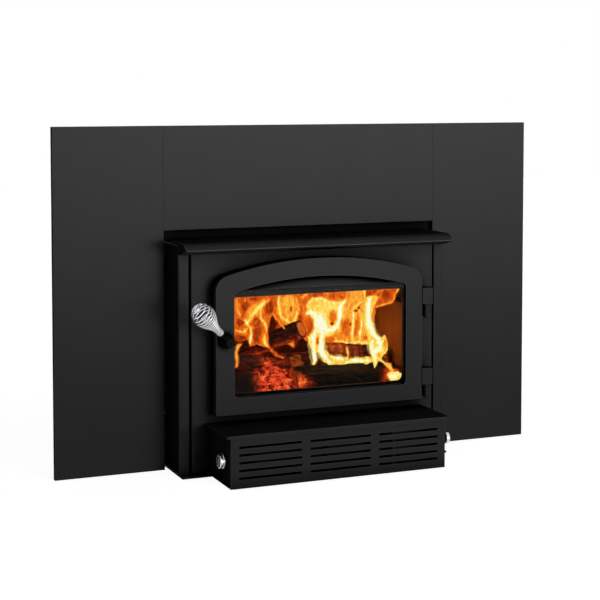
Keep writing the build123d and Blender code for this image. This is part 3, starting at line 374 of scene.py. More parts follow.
# %% Flame finish
tree, skin, here = new_finish("flame", Base_Color=(0, 0, 0, 1), Roughness=1.0,
                              Specular_IOR_Level=0.0, Emission_Strength=1.0)
licks = grain(tree, stretched(tree, here, (1.0, 1.0, 0.42)), 75.0, 4.0, 0.6, 1.6)
licks = spread(tree, licks, 0.3, 0.7, -1.0, 1.0)
folds = crests(tree, grain(tree, stretched(tree, here, (1.0, 1.0, 0.5)), 36.0, 3.0, 0.55, 2.6), 5.0)
warm = plus(tree, held(tree, "hot"), times(tree, licks, 0.06))
warm = plus(tree, warm, spread(tree, folds, 0.0, 1.0, -0.05, 0.12))
thin = plus(tree, held(tree, "cover"), times(tree, licks, 0.12))
lay(skin, Alpha=spread(tree, thin, 0.08, 0.5), Emission_Color=tint(tree, warm, [
    (0.0, (0.04, 0.002, 0.0)), (0.18, (0.14, 0.01, 0.001)), (0.36, (0.4, 0.04, 0.003)),
    (0.52, (0.84, 0.135, 0.007)), (0.64, (0.96, 0.3, 0.02)), (0.76, (1.0, 0.58, 0.06)),
    (0.87, (1.0, 0.83, 0.16)), (0.95, (1.0, 0.96, 0.4)), (1.0, (1.0, 1.0, 0.78))]))
finishes["flame"].cycles.emission_sampling = "NONE"
print("finishes", len(finishes))

# %% [markdown]
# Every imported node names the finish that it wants, so dressing it is one loop. The material goes on
# the object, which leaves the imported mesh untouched.

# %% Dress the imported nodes
def dress(obj, material):
    if not obj.material_slots:
        obj.data.materials.append(None)
    for slot in obj.material_slots:
        slot.link = "OBJECT"
        slot.material = material


for part in frame["record"]["subparts"]:
    dress(nodes[part["node"]], finishes[part["material_slot"]])

# %% [markdown]
# New pieces are meshes made from lists of points and faces. One helper makes the object, stores
# numbers on its points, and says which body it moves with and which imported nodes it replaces. Most
# shapes here are rows of points, so a second helper joins neighbouring rows with faces.

# %% Helpers for new pieces
def new_piece(name, points, faces, finish, numbers=None, replaced=(), body="root", smooth=True):
    mesh = bpy.data.meshes.new(name)
    mesh.from_pydata([tuple(p) for p in points], [], faces)
    mesh.validate()
    if smooth:
        mesh.shade_smooth()
    for key, values in (numbers or {}).items():
        stored = mesh.attributes.new(key, "FLOAT", "POINT")
        stored.data.foreach_set("value", np.asarray(values, np.float32))
    mesh.materials.append(finishes[finish])
    obj = bpy.data.objects.new(name, mesh)
    scene.collection.objects.link(obj)
    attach(obj, body)
    if replaced:
        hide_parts(*replaced)
    print(name, len(mesh.vertices), "points")


def strip_faces(rows, columns, closed=False):
    faces = []
    for a in range(0, (rows - 1) * columns, columns):
        for c in range(columns if closed else columns - 1):
            d = (c + 1) % columns
            faces.append((a + c, a + d, a + columns + d, a + columns + c))
    return faces


print("piece helpers ready")

# %% [markdown]
# The grip is one wire wound into a bulb, so that it stays cool. A ring of points is carried along
# the wire's centre line, and turns only as much as the line does, so the tube doesn't twist.

# %% Sweep a wire
def sweep(path, radius, sides=10):
    heading = (path[1] - path[0]).normalized()
    side = heading.orthogonal().normalized()
    points = []
    for i, p in enumerate(path):
        ahead = (path[min(i + 1, len(path) - 1)] - path[max(i - 1, 0)]).normalized()
        side = heading.rotation_difference(ahead) @ side
        heading = ahead
        up = heading.cross(side)
        for k in range(sides):
            a = 2 * math.pi * k / sides
            points.append(p + (side * math.cos(a) + up * math.sin(a)) * radius)
    faces = strip_faces(len(path), sides, closed=True)
    faces.append(tuple(reversed(range(sides))))
    faces.append(tuple(range(len(points) - sides, len(points))))
    return points, faces


print("sweep ready")

# %% [markdown]
# The turns of the wire sit close at the neck, open up round the bulb and draw in to the tip, where
# two flat turns close it. Its centre line is worked out first, as a radius and a height.

# %% Spring grip
grip_axis = Vector((-0.72, -0.26, 0.7)).normalized()
arm_end, socket_depth = Vector((-0.22, -0.1325, 0.289)), 0.033
grip_base = arm_end + grip_axis * socket_depth
grip_length, grip_turns, closing_turns, wire_radius = 0.085, 15, 2, 0.00125
neck_radius, bulb_radius, tip_radius, eye_radius = 0.0071, 0.0235, 0.011, 0.0022
neck_end, bulb_place, draw = 0.12, 0.72, 2.2
steps_per_turn = 28
side_a = grip_axis.orthogonal().normalized()
side_b = grip_axis.cross(side_a)


def bulb_line(share):
    """Radius of the wire's centre line at a share of the grip's length."""
    if share < bulb_place:
        swell = max(0.0, share - neck_end) / (bulb_place - neck_end)
        return neck_radius + (bulb_radius - neck_radius) * (0.5 - 0.5 * math.cos(math.pi * swell))
    fall = (share - bulb_place) / (1 - bulb_place)
    return bulb_radius - (bulb_radius - tip_radius) * fall ** draw


def wound(turns, height, radius):
    """A point after so many turns, at a height and a radius."""
    a = 2 * math.pi * turns
    return grip_base + grip_axis * height + (side_a * math.cos(a) + side_b * math.sin(a)) * radius


wire_path = []
for i in range(grip_turns * steps_per_turn + 1):
    share = i / steps_per_turn / grip_turns
    height = 0.62 * share + 0.38 * share ** draw
    wire_path.append(wound(i / steps_per_turn, height * grip_length, bulb_line(height)))
for i in range(1, closing_turns * steps_per_turn + 1):
    closing = i / steps_per_turn
    rise = 0.0012 * math.sin(math.pi * 0.5 * min(1.0, closing))
    wire_path.append(wound(grip_turns + closing, grip_length + rise,
                           tip_radius - (tip_radius - eye_radius) * closing / closing_turns))
new_piece("spring_wire", *sweep(wire_path, wire_radius), "spring_steel", None, ["spring_grip"],
          "handle")

# %% [markdown]
# The door closes on a knitted rope, and the pane rests on a woven tape. Both are strips laid round a
# loop, so one helper sweeps a rounded section along a list of points: a small power in square makes
# the section boxy, and braid is how deep its knitted ribs are.

# %% Seal strips
seal_step = 0.002


def straight(x0, z0, x1, z1):
    """Points on a straight stretch, without its last one."""
    count = max(1, int(math.hypot(x1 - x0, z1 - z0) / seal_step))
    return [(x0 + (x1 - x0) * i / count, z0 + (z1 - z0) * i / count) for i in range(count)]


def arc(x, z, radius, first, last):
    """Points on an arc between two angles in degrees, without its last one."""
    count = max(2, int(abs(math.radians(last - first)) * radius / seal_step))
    angles = [math.radians(first + (last - first) * i / count) for i in range(count)]
    return [(x + radius * math.cos(a), z + radius * math.sin(a)) for a in angles]


def seal_strip(name, loop, wide, deep, y, square, braid, node, sides=20):
    """A strip round a loop of (x, z), with a section of half sizes wide and deep."""
    points = []
    for i, (x, z) in enumerate(loop):
        (bx, bz), (ax, az) = loop[i - 1], loop[(i + 1) % len(loop)]
        arriving, leaving = (Vector(v).normalized() for v in ((x - bx, z - bz), (ax - x, az - z)))
        out = Vector((arriving.y + leaving.y, -arriving.x - leaving.x)).normalized()
        out /= max(0.5, out.dot(Vector((leaving.y, -leaving.x))))
        for k in range(sides):
            a = 2 * math.pi * k / sides
            c, s = math.cos(a), math.sin(a)
            knit = 0.5 + 0.5 * math.sin(i * 1.6 + a * 3.0) * math.sin(i * 1.6 - a * 3.0)
            across = math.copysign(abs(c) ** square, c) * wide * (1.0 - braid * knit)
            lift = math.copysign(abs(s) ** square, s) * deep * (1.0 - braid * knit)
            points.append((x + out.x * across, y + lift, z + out.y * across))
    faces = strip_faces(len(loop), sides, closed=True)
    last = (len(loop) - 1) * sides
    faces += [(last + k, last + (k + 1) % sides, (k + 1) % sides, k) for k in range(sides)]
    new_piece(name, points, faces, "seal", None, [node], "door")


print("seal strips ready")

# %% [markdown]
# The rope follows the door: straight sides, two small shoulders and a wide arch. The radii say where
# the arch meets a shoulder, so the loop has no kink. The tape is a rectangle.

# %% Rope and tape
rope_half, rope_low, rope_top, arch, shoulder = 0.235, 0.1345, 0.4484, 0.794, 0.029
arch_z, shoulder_x = rope_top - arch, rope_half - shoulder
shoulder_z = arch_z + math.sqrt((arch - shoulder) ** 2 - shoulder_x ** 2)
lean = math.degrees(math.atan2(shoulder_x, shoulder_z - arch_z))
rope_loop = (straight(-rope_half, rope_low, -rope_half, shoulder_z)
             + arc(-shoulder_x, shoulder_z, shoulder, 180, 90 + lean)
             + arc(0, arch_z, arch, 90 + lean, 90 - lean)
             + arc(shoulder_x, shoulder_z, shoulder, 90 - lean, 0)
             + straight(rope_half, shoulder_z, rope_half, rope_low)
             + straight(rope_half, rope_low, -rope_half, rope_low))
seal_strip("rope_seal", rope_loop, 0.0039, 0.0033, -0.07465, 0.9, 0.1, "door_gasket")
tape_half, tape_low, tape_high = 0.2035, 0.162, 0.3955
tape_corners = [(-tape_half, tape_low), (-tape_half, tape_high), (tape_half, tape_high),
                (tape_half, tape_low)]
tape_loop = []
for corner, following in zip(tape_corners, tape_corners[1:] + tape_corners[:1]):
    tape_loop += straight(*corner, *following)
seal_strip("pane_tape", tape_loop, 0.0044, 0.0007, -0.09675, 0.4, 0.04, "glass_gasket")

# %% [markdown]
# A log is a grid of rings along a line. The rings are cut flat on one or two sides, because firewood
# is split, and get lumps, fibres and flakes of bark. Then they are pushed in along a net of cracks:
# cell noise, stretched along the log, gives the blocks that char breaks into.

# %% Surface of a log
def crack_depth(along, around, seed):
    """0 inside a char block and 1 in a crack, from the two nearest cells of a noise."""
    where = Vector((along * 34.0, around * 2.6, seed * 7.3))
    where += 0.35 * noise.noise_vector(where * 0.7)
    near, next_near = noise.voronoi(where)[0][:2]
    return max(0.0, 1.0 - (next_near - near) / 0.22)


def log_reach(along, share, a, radius, seed, splits, cracks, bark, joints):
    """Radius and crack of a log at a distance and share along it and an angle round it."""
    reach = 1.0
    for direction, limit in splits:
        facing = math.cos(a - math.radians(direction))
        if facing > 0.05:
            reach = min(reach, limit / facing)
    place = Vector((along * 24.0, math.cos(a) * 1.4, math.sin(a) * 1.4 + seed * 3.1))
    lumps = 0.045 * noise.fractal(place * 0.8, 1.0, 2.1, 4)
    fibre = 0.018 * noise.fractal(Vector((along * 14.0, a * 7.0, seed)), 0.9, 2.0, 3)
    flakes = bark * 0.05 * abs(noise.noise(Vector((along * 10.0, a * 3.2, seed + 9.0))))
    crack = crack_depth(along, a * radius * 30.0, seed) * cracks
    if joints:
        across = share * joints + 0.25 * noise.noise(Vector((share * 7.0, a * 1.5, seed)))
        crack = max(crack, 1.3 - abs(across - round(across)) * 6.0)
    taper = 1.0 - 0.07 * share
    return radius * taper * (reach + lumps + fibre + flakes - 0.07 * crack), crack


def store(numbers, *values):
    """Add one point's numbers for the burning finish."""
    for key, value in zip(("hot", "char", "crack", "cut"), values):
        numbers.setdefault(key, []).append(value)


print("log surface ready")

# %% [markdown]
# The sawn ends of a log are closed by smaller and smaller rings, a little domed, with a dark rim of
# bark and cracks that run in from it.

# %% Logs
def log_end(points, faces, numbers, rim, outward, flip, seed, rough, hot, char, sawn):
    """Close the ring of points whose indices are in rim."""
    ring, around = rim, len(rim)
    middle = sum((points[p] for p in rim), Vector()) / around
    for step, scale in enumerate((0.97, 0.9, 0.72, 0.5, 0.28, 0.1)):
        inner = range(len(points), len(points) + around)
        for k, p in enumerate(rim):
            wobble = rough * noise.noise(Vector((step * 2.0, k * 0.35, seed)))
            bulge = outward * (0.0016 + wobble if step else 0.0012)
            points.append(middle + (points[p] - middle) * scale + bulge)
            split_line = crack_depth(0.02 * math.cos(k * 0.11), k * 0.16, seed + 5)
            store(numbers, hot, *((1.0, 0.2, 0.0) if step < 2 else (char, 0.5 * split_line, sawn)))
        for k in range(around):
            d = (k + 1) % around
            quad = (ring[k], ring[d], inner[d], inner[k])
            faces.append(quad if flip else quad[::-1])
        ring = inner
    faces.append(tuple(ring if flip else reversed(ring)))


def log_piece(name, start, end, radius, seed, splits, char, heat, cracks=1.0, replaced=(),
              bark=0.0, sawn=0.2, bare=lambda s, u, t: 0.0, joints=0, around=110, pitch=0.0028):
    """char, heat and bare are functions of (share along, up, toward the viewer), from 0 to 1."""
    start, end, radius = Vector(start) * 0.001, Vector(end) * 0.001, radius * 0.001
    length = (end - start).length
    axis = (end - start).normalized()
    up = (Vector((0, 0, 1)) - axis * axis.z).normalized()
    side = axis.cross(up)
    rings = max(24, int(length / pitch))
    points, numbers = [], {}
    for i in range(rings):
        share = i / (rings - 1)
        bow = 0.05 * radius * math.sin(share * 5 + seed)
        for k in range(around):
            a = 2 * math.pi * k / around
            r, crack = log_reach(share * length, share, a, radius, seed, splits, cracks, bark, joints)
            offset = up * (math.cos(a) * r) + side * (math.sin(a) * r + bow)
            points.append(start + axis * (share * length) + offset)
            faced = share, offset.normalized().z, -offset.normalized().y
            store(numbers, heat(*faced) * (1.0 if crack < 0.5 else 1.25), char(*faced),
                  crack * (1.0 - min(1.0, heat(*faced))), bare(*faced))
    faces = strip_faces(rings, around, closed=True)
    for share, outward in ((0, -axis), (1, axis)):
        first = share * (rings - 1) * around
        log_end(points, faces, numbers, range(first, first + around), outward, share == 0, seed,
                0.012 * radius, heat(share, 0.0, 0.0) * (1.0 - sawn), char(share, 0.0, 1.0) * 0.6, sawn)
    new_piece(name, points, faces, "charred_wood", numbers, replaced)


print("logs ready")

# %% [markdown]
# Two front logs lie with the embers between them, a long one lies behind, two rest on them at the
# sides and one leans on the back. Their ends are in millimetres. How hot and how charred each one is
# was set: hot next to the embers, cold at the outer ends.

# %% Six logs
firebox_half = 228.2


def at_end(share, where, width):
    return max(0.0, 1.0 - abs(share - where) / width)


log_piece("left_front_log", (-firebox_half, 28, 157.4), (-103, 4, 157.4), 40, 1,
          [(60, 0.86), (-35, 0.9)], lambda s, u, t: 0.85,
          lambda s, u, t: 0.62 * at_end(s, 1.0, 0.2) + 0.2 * max(0.0, -u),
          0.9, ["lower_logs"], bark=1.0)
log_piece("right_front_log", (-12, 28, 157.4), (firebox_half, 4, 157.4), 40, 2,
          [(20, 0.88), (160, 0.85)], lambda s, u, t: 1.0,
          lambda s, u, t: 1.1 * at_end(s, 0.02, 0.18) * max(0.0, 0.8 - 1.2 * abs(u - 0.3))
          + 0.18 * max(0.0, -u) + 0.85 * at_end(s, 0.93, 0.16) * max(0.0, t))
log_piece("rear_log", (-firebox_half, 130, 163.4), (firebox_half, 130, 163.4), 46, 3, [(30, 0.9)],
          lambda s, u, t: 0.9, lambda s, u, t: 0.2 + 0.4 * at_end(s, 0.4, 0.12) * max(0.0, t),
          bare=lambda s, u, t: 0.8 * (abs(s - 0.545 - 0.02 * u) < 0.03 and t > 0.2 and u > -0.2))
log_piece("left_upper_log", (-firebox_half, 71.6, 212), (-78, 62.1, 197), 30, 4, [(0, 0.85)],
          lambda s, u, t: 0.95, lambda s, u, t: 0.3 * at_end(s, 1.0, 0.2) + 0.12 * max(0.0, t),
          replaced=["upper_logs"])
log_piece("right_upper_log", (66, 71.6, 212), (firebox_half, 62.1, 197), 30, 5, [(0, 0.9)],
          lambda s, u, t: 0.2 + 0.8 * at_end(s, 0.66, 0.3), lambda s, u, t: 0.24, joints=9,
          bare=lambda s, u, t: 0.45 * at_end(s, 1.0, 0.16))
log_piece("leaning_log", (-168, 330, 139.4), (18.4, 59.8, 274.6), 22, 6, [(90, 0.8), (-80, 0.84)],
          lambda s, u, t: 0.95, lambda s, u, t: 0.1 + 0.3 * max(0.0, -u), 0.8, sawn=0.9)

# %% [markdown]
# Embers are a bed of ash with a heap of coals between the front logs. The bed is a grid whose height
# is a mound with finer noise. A material could displace it, but then the exported mesh would be flat.

# %% Ember bed
bed_low, bed_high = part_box("ember_bed")
bed_surface = 0.1134


def heap(x, y):
    """Height of the coal heap over the bed, in metres."""
    across = math.exp(-((x + 0.053) / 0.044) ** 4)
    slope = min(1.0, max(0.0, 0.42 + 0.58 * (y + 0.036) / 0.112))
    front = min(1.0, max(0.0, (y + 0.046) / 0.012))
    back = min(1.0, max(0.0, (0.1 - y) / 0.022))
    return 0.076 * across * slope * front * back


bed_columns, bed_rows = 190, 150
points, numbers = [], {}
for y in np.linspace(bed_low.y, bed_high.y, bed_rows):
    for x in np.linspace(bed_low.x, bed_high.x, bed_columns):
        rim = min(x - bed_low.x, bed_high.x - x, y - bed_low.y, bed_high.y - y) / 0.014
        lumps = 0.006 * noise.fractal(Vector((x * 45, y * 45, 1.0)), 0.9, 2.1, 5)
        z = bed_surface + lumps + heap(x, y)
        points.append((x, y, bed_low.z + (z - bed_low.z) * min(1.0, rim) ** 0.5))
        middle = math.exp(-((x + 0.045) / 0.07) ** 4) * math.exp(-(max(0.0, y - 0.08) / 0.03) ** 2)
        store(numbers, 0.05 + 0.62 * middle * max(0.0, min(1.0, rim)), 0.9, 0.0, 0.0)
new_piece("ash_bed", points, strip_faces(bed_rows, bed_columns), "embers", numbers, ["ember_bed"])

# %% [markdown]
# Loose coals are small lumps on the bed. Each is a ball of triangles, flattened against random
# planes, roughened, stretched and turned, with a heat of its own. They keep flat faces, as broken
# char does.

# %% Loose coals
ball = bmesh.new()
bmesh.ops.create_icosphere(ball, subdivisions=3, radius=1.0)
ball.verts.ensure_lookup_table()
ball_points = [v.co.copy() for v in ball.verts]
ball_faces = [tuple(v.index for v in f.verts) for f in ball.faces]
ball.free()
dice = random.Random(11)
points, faces, numbers = [], [], {}


def random_way():
    return Vector([dice.gauss(0, 1) for _ in range(3)])


def add_coal(x, y, size, heat):
    spin = Matrix.Rotation(dice.uniform(0, 6.28), 3, random_way())
    stretch = Vector((dice.uniform(0.8, 1.5), dice.uniform(0.7, 1.0), dice.uniform(0.5, 0.85)))
    planes = [(random_way().normalized(), dice.uniform(0.55, 0.85)) for _ in range(9)]
    centre = Vector((x, y, bed_surface + heap(x, y) + size * 0.25))
    base = len(points)
    for p in ball_points:
        q = p.copy()
        for direction, limit in planes:
            q -= direction * max(0.0, q.dot(direction) - limit)
        q *= 1.0 + 0.34 * noise.noise(p * 2.1 + centre * 300)
        q = spin @ (q * stretch)
        points.append(centre + q * size)
        store(numbers, max(0.03, min(1.0, heat + 0.22 * q.z)), 1.0, 0.0, 0.0)
    faces.extend(tuple(base + i for i in f) for f in ball_faces)


for count, (left, right), (front, back), (small, large), heats in (
        (230, (-0.105, -0.002), (-0.042, 0.085), (0.006, 0.012), (0.1, 0.3, 0.45, 0.55, 0.65, 0.75)),
        (46, (-0.1, 0.06), (-0.046, -0.03), (0.005, 0.01), (0.1, 0.35, 0.5, 0.6)),
        (50, (-0.22, 0.22), (-0.046, -0.024), (0.003, 0.007), (0.0, 0.05, 0.15, 0.3))):
    for _ in range(count):
        x, y = dice.uniform(left, right), dice.uniform(front, back)
        if count < 230 or heap(x, y) > 0.008:
            add_coal(x, y, dice.uniform(small, large), dice.choice(heats))
new_piece("loose_coals", points, faces, "embers", numbers, smooth=False)

# %% [markdown]
# A flame sheet is built from drawn shapes: patches with a soft rim, tongues along a curve, and
# holes. Patches and tongues need a mask over a grid of places: 1 in the shape and 0 away from it.

# %% Masks of drawn shapes
def off_line(x, z, a, b):
    """Distance to a straight stretch from a to b, and the share along it."""
    (x0, z0), (x1, z1) = a, b
    dx, dz = x1 - x0, z1 - z0
    along = np.clip(((x - x0) * dx + (z - z0) * dz) / max(dx * dx + dz * dz, 1e-9), 0, 1)
    return np.hypot(x - x0 - along * dx, z - z0 - along * dz), along


def patch_mask(x, z, outline, soft):
    inside, distance = np.zeros(x.shape, bool), np.full(x.shape, 1e9)
    for a, b in zip(outline, outline[1:] + outline[:1]):
        distance = np.minimum(distance, off_line(x, z, a, b)[0])
        if a[1] != b[1]:
            edge = a[0] + (z - a[1]) * (b[0] - a[0]) / (b[1] - a[1])
            inside ^= ((a[1] > z) != (b[1] > z)) & (x < edge)
    return np.clip(0.5 + np.where(inside, distance, -distance) / (2 * soft), 0, 1)


def smooth_line(line, per_span=6):
    """A curve through given points."""
    line = [np.array(p, float) for p in line]
    if len(line) < 3:
        return line
    ends = [2 * line[0] - line[1]] + line + [2 * line[-1] - line[-2]]
    curve = []
    for a, b, c, d in zip(ends, ends[1:], ends[2:], ends[3:]):
        for t in np.arange(per_span) / per_span:
            curve.append(0.5 * (2 * b + (c - a) * t + (2 * a - 5 * b + 4 * c - d) * t * t
                                + (3 * b - a - 3 * c + d) * t ** 3))
    return curve + [line[-1]]


def tongue_mask(x, z, line, width):
    """1 on a line, falling to 0 at its width and thinning to its ends."""
    line, best = smooth_line(line), np.zeros(x.shape)
    for k, (a, b) in enumerate(zip(line, line[1:])):
        distance, along = off_line(x, z, a, b)
        share = np.clip((k + along) / (len(line) - 1), 0, 1)
        reach = width * (0.55 + 0.45 * np.sin(np.pi * share))
        best = np.maximum(best, np.clip(1 - (distance / reach) ** 2, 0, 1))
    return best


print("masks ready")

# %% [markdown]
# The shapes are laid over one another and give each place its heat and density. A sheet starts as an
# upright grid, made ragged by turbulence. Its shapes were drawn as the camera sees them on one
# plane, and the sheet carries them to its own depth along the lines of sight. Empty places are left
# out.

# %% Flame sheets
def drawn_heat(x, z, patches, tongues, holes):
    heat, cover = np.zeros(x.shape), np.zeros(x.shape)
    for warm, outline in patches:
        mask = patch_mask(x, z, outline, 2.2)
        heat = np.where(cover > 0.03, heat, warm)
        heat = heat + (warm - heat) * mask
        cover = np.maximum(cover, mask * (0.35 + 0.6 * warm))
    for warm, width, line in tongues:
        mask, halo = tongue_mask(x, z, line, width), tongue_mask(x, z, line, width * 2.4)
        heat = np.where((cover > 0.03) | (halo <= 0), heat, warm * 0.8)
        heat = np.maximum(heat, heat + (warm - heat) * mask)
        heat = np.maximum(heat, heat + (warm * 0.8 - heat) * halo * 0.5)
        cover = np.maximum(cover, np.maximum(mask, halo * 0.3))
    for warm, wide, tall, hx, hz in holes:
        mask = np.clip(1.25 - np.hypot((x - hx) / wide, (z - hz) / tall), 0, 1) ** 1.2
        heat = heat + (np.minimum(warm, heat) - heat) * np.clip(mask * 1.6, 0, 1)
        if warm < 0.3:
            cover = cover * (1 - 0.75 * np.clip(mask * 1.5, 0, 1))
    return heat, cover


def flame_sheet(name, corners, pitch, depth, drawn_at, shapes, seed, wave, ragged, replaced=()):
    """A wavy sheet in millimetres, with shapes drawn at one depth and carried to another."""
    x0, x1, z0, z1 = corners
    xs, zs = np.arange(x0, x1 + pitch, pitch), np.arange(z0, z1 + pitch, pitch)
    x, z = np.meshgrid(xs, zs)
    shift = np.array([[noise.turbulence_vector(Vector((a * 0.034, b * 0.02, seed)), 4, False)
                       for a in xs] for b in zs])
    shift -= shift.mean((0, 1))
    heat, cover = drawn_heat(x + ragged * shift[..., 0], z + ragged * 1.4 * shift[..., 1], *shapes)
    place = depth(x)
    eye = np.array(camera.location) * 1000
    carry = (place - eye[1]) / (drawn_at - eye[1])
    x, z = eye[0] + (x - eye[0]) * carry, eye[2] + (z - eye[2]) * carry
    y = place + wave * (shift[..., 2] * 1.6 + 0.5 * np.sin(x * 0.045 + seed) + 0.4 * np.sin(z * 0.03))
    keep = cover > 0.03
    names = -np.ones(x.shape, int)
    names[keep] = np.arange(keep.sum())
    points = np.stack([x[keep], y[keep], z[keep]], 1) * 0.001
    quads = np.stack([names[:-1, :-1], names[:-1, 1:], names[1:, 1:], names[1:, :-1]], -1)
    faces = [tuple(int(i) for i in q) for q in quads.reshape(-1, 4) if (q >= 0).all()]
    new_piece(name, points, faces, "flame", {"hot": heat[keep], "cover": cover[keep]}, replaced)


def bend(x, start, width, near, far):
    """A depth that changes smoothly from near to far over a width."""
    t = np.clip((x - start) / width, 0, 1)
    return near + (far - near) * t * t * (3 - 2 * t)


print("flame sheets ready")

# %% [markdown]
# A dull red curtain fills the back of the firebox, as glowing smoke does. Its shapes are given in
# millimetres across and above the hearth, as those of the next two sheets. A patch is its heat and
# outline, a tongue its heat, half width and line, a hole its heat, half sizes and middle.

# %% Curtain of smoke
curtain_patches = [
    (0.34, [(-225, 378), (225, 378), (232, 300), (215, 215), (-215, 215), (-232, 300)]),
]
curtain_tongues = [
    (0.55, 9, [(-190, 215), (-180, 260), (-195, 310), (-170, 370)]),
    (0.5, 12, [(-110, 215), (-118, 262), (-92, 310), (-104, 370)]),
    (0.52, 14, [(-30, 215), (-18, 262), (-40, 310), (-10, 372)]),
    (0.62, 16, [(70, 215), (82, 262), (60, 310), (90, 372)]),
    (0.6, 14, [(150, 215), (160, 262), (144, 310), (170, 372)]),
]
curtain_holes = [
    (0.05, 26, 40, -148, 260), (0.05, 24, 44, -66, 290), (0.05, 22, 30, 24, 250),
    (0.1, 20, 34, 116, 330), (0.05, 20, 60, 205, 280)
]
flame_sheet("curtain_flames", (-236, 236, 200, 380), 4.0, lambda x: np.full(x.shape, 250.0), 235,
            (curtain_patches, curtain_tongues, curtain_holes), 5.0, 14.0, 26.0)

# %% [markdown]
# The main flames stand tall over the rear log. The sheet bends forward at the right, where they meet
# the wall.

# %% Main flames
main_patches = [
    (0.48, [(-124, 351), (36, 354), (149, 356), (223, 354), (223, 296), (215, 214), (101, 224),
        (73, 228), (51, 238), (36, 253), (19, 259), (-3, 265), (-13, 277), (-25, 296), (-35, 310),
        (-67, 271), (-124, 261)]),
    (0.66, [(-13, 343), (7, 344), (29, 341), (36, 322), (34, 302), (26, 284), (21, 268), (7, 273),
        (-8, 286), (-15, 305), (-15, 327)]),
    (0.8, [(51, 321), (63, 332), (81, 336), (101, 330), (121, 320), (136, 328), (151, 332), (151, 316),
        (141, 293), (139, 268), (121, 250), (101, 242), (76, 248), (71, 286), (53, 301)]),
    (0.66, [(149, 351), (194, 351), (194, 318), (218, 277), (215, 219), (121, 234), (121, 246),
        (141, 277), (146, 314)]),
]
main_tongues = [
    (0.86, 4.5, [(-15, 341), (-15, 323), (-11, 300), (2, 285), (16, 275), (24, 289), (29, 302)]),
    (0.68, 3, [(36, 341), (61, 346), (98, 347), (136, 335)]),
    (0.88, 5.5, [(56, 323), (71, 334), (91, 333), (116, 323), (136, 326), (149, 330)]),
    (1.05, 7, [(53, 301), (68, 302), (78, 290), (78, 267), (81, 248)]),
    (1.1, 12, [(91, 289), (93, 266), (91, 243)]),
    (1.05, 7.5, [(98, 261), (113, 258), (129, 266), (136, 287), (139, 310), (146, 326)]),
    (0.95, 4.5, [(166, 299), (167, 275), (169, 252), (167, 231)]),
    (0.9, 2.4, [(194, 351), (194, 332), (197, 318)]),
    (1.0, 6, [(202, 315), (207, 296), (210, 273), (213, 249)]),
    (0.9, 4, [(189, 288), (190, 260), (187, 232)]),
    (0.9, 4, [(121, 234), (141, 230), (167, 226), (192, 227), (213, 223)]),
    (0.8, 3, [(161, 301), (177, 315), (192, 325)]),
    (0.75, 2.4, [(149, 304), (166, 320), (187, 330)]),
    (0.72, 2.2, [(-3, 336), (2, 317), (-1, 304)]),
    (0.78, 2.2, [(19, 335), (21, 316), (14, 294)]),
    (0.7, 2.2, [(73, 323), (78, 306), (91, 301)]),
    (0.62, 2, [(39, 327), (46, 313), (41, 301)]),
]
main_holes = [
    (0.5, 11, 16, 118, 288), (0.28, 6, 4, 116, 271), (0.5, 14, 20, 149, 265), (0.28, 4, 3, 172, 301),
    (0.28, 3, 3, 179, 306), (0.3, 3, 3, 192, 297), (0.22, 2, 5, 161, 271), (0.5, 6, 22, 179, 261),
    (0.3, 4, 7, 205, 261), (0.48, 9, 6, 205, 238), (0.4, 22, 6, 81, 343), (0.42, 18, 7, 128, 343),
    (0.36, 9, 9, 207, 341), (0.34, 3, 7, 14, 312), (0.42, 6, 14, 63, 272), (0.35, 4, 8, 36, 290)
]
flame_sheet("main_flames", (-225, 232, 196, 380), 1.8, lambda x: bend(x, 110, 90, 182, 102), 105,
            (main_patches, main_tongues, main_holes), 2.0, 5.0, 5.0, ["flames"])

# %% [markdown]
# Low licks wrap the logs in front and reach the pane at the right.

# %% Front flames
front_patches = [
    (0.48, [(-158, 362), (-134, 363), (-97, 361), (-74, 360), (-74, 331), (-78, 314), (-83, 288),
        (-81, 254), (-95, 251), (-111, 259), (-125, 255), (-135, 278), (-153, 283), (-160, 281)]),
    (0.64, [(-97, 359), (-76, 360), (-88, 347), (-97, 341), (-107, 324), (-121, 312), (-132, 306),
        (-139, 322), (-125, 336), (-111, 346)]),
    (0.46, [(168, 367), (233, 366), (223, 346), (213, 333), (198, 332), (183, 326), (171, 322)]),
    (0.8, [(153, 348), (183, 349), (178, 335), (173, 322), (168, 304), (168, 295), (176, 285),
        (178, 272), (188, 257), (203, 254), (206, 240), (208, 224), (198, 216), (191, 207), (198, 197),
        (183, 201), (173, 185), (168, 199), (166, 216), (168, 238), (161, 255), (153, 282),
        (153, 318)]),
    (0.64, [(193, 205), (203, 195), (214, 194), (224, 175), (216, 173), (204, 183)]),
    (0.86, [(206, 167), (216, 176), (229, 177), (239, 169), (246, 171), (247, 164), (239, 160),
        (239, 153), (214, 155)]),
    (0.78, [(53, 234), (67, 224), (80, 215), (92, 216), (104, 217), (112, 210), (126, 211), (144, 213),
        (163, 209), (171, 199), (159, 196), (149, 189), (139, 197), (119, 196), (102, 191), (77, 192),
        (60, 196), (46, 217)]),
    (0.84, [(24, 274), (46, 273), (55, 263), (53, 234), (50, 217), (60, 202), (46, 208), (41, 231),
        (33, 231), (31, 209), (21, 196), (24, 225), (17, 248), (12, 268)]),
]
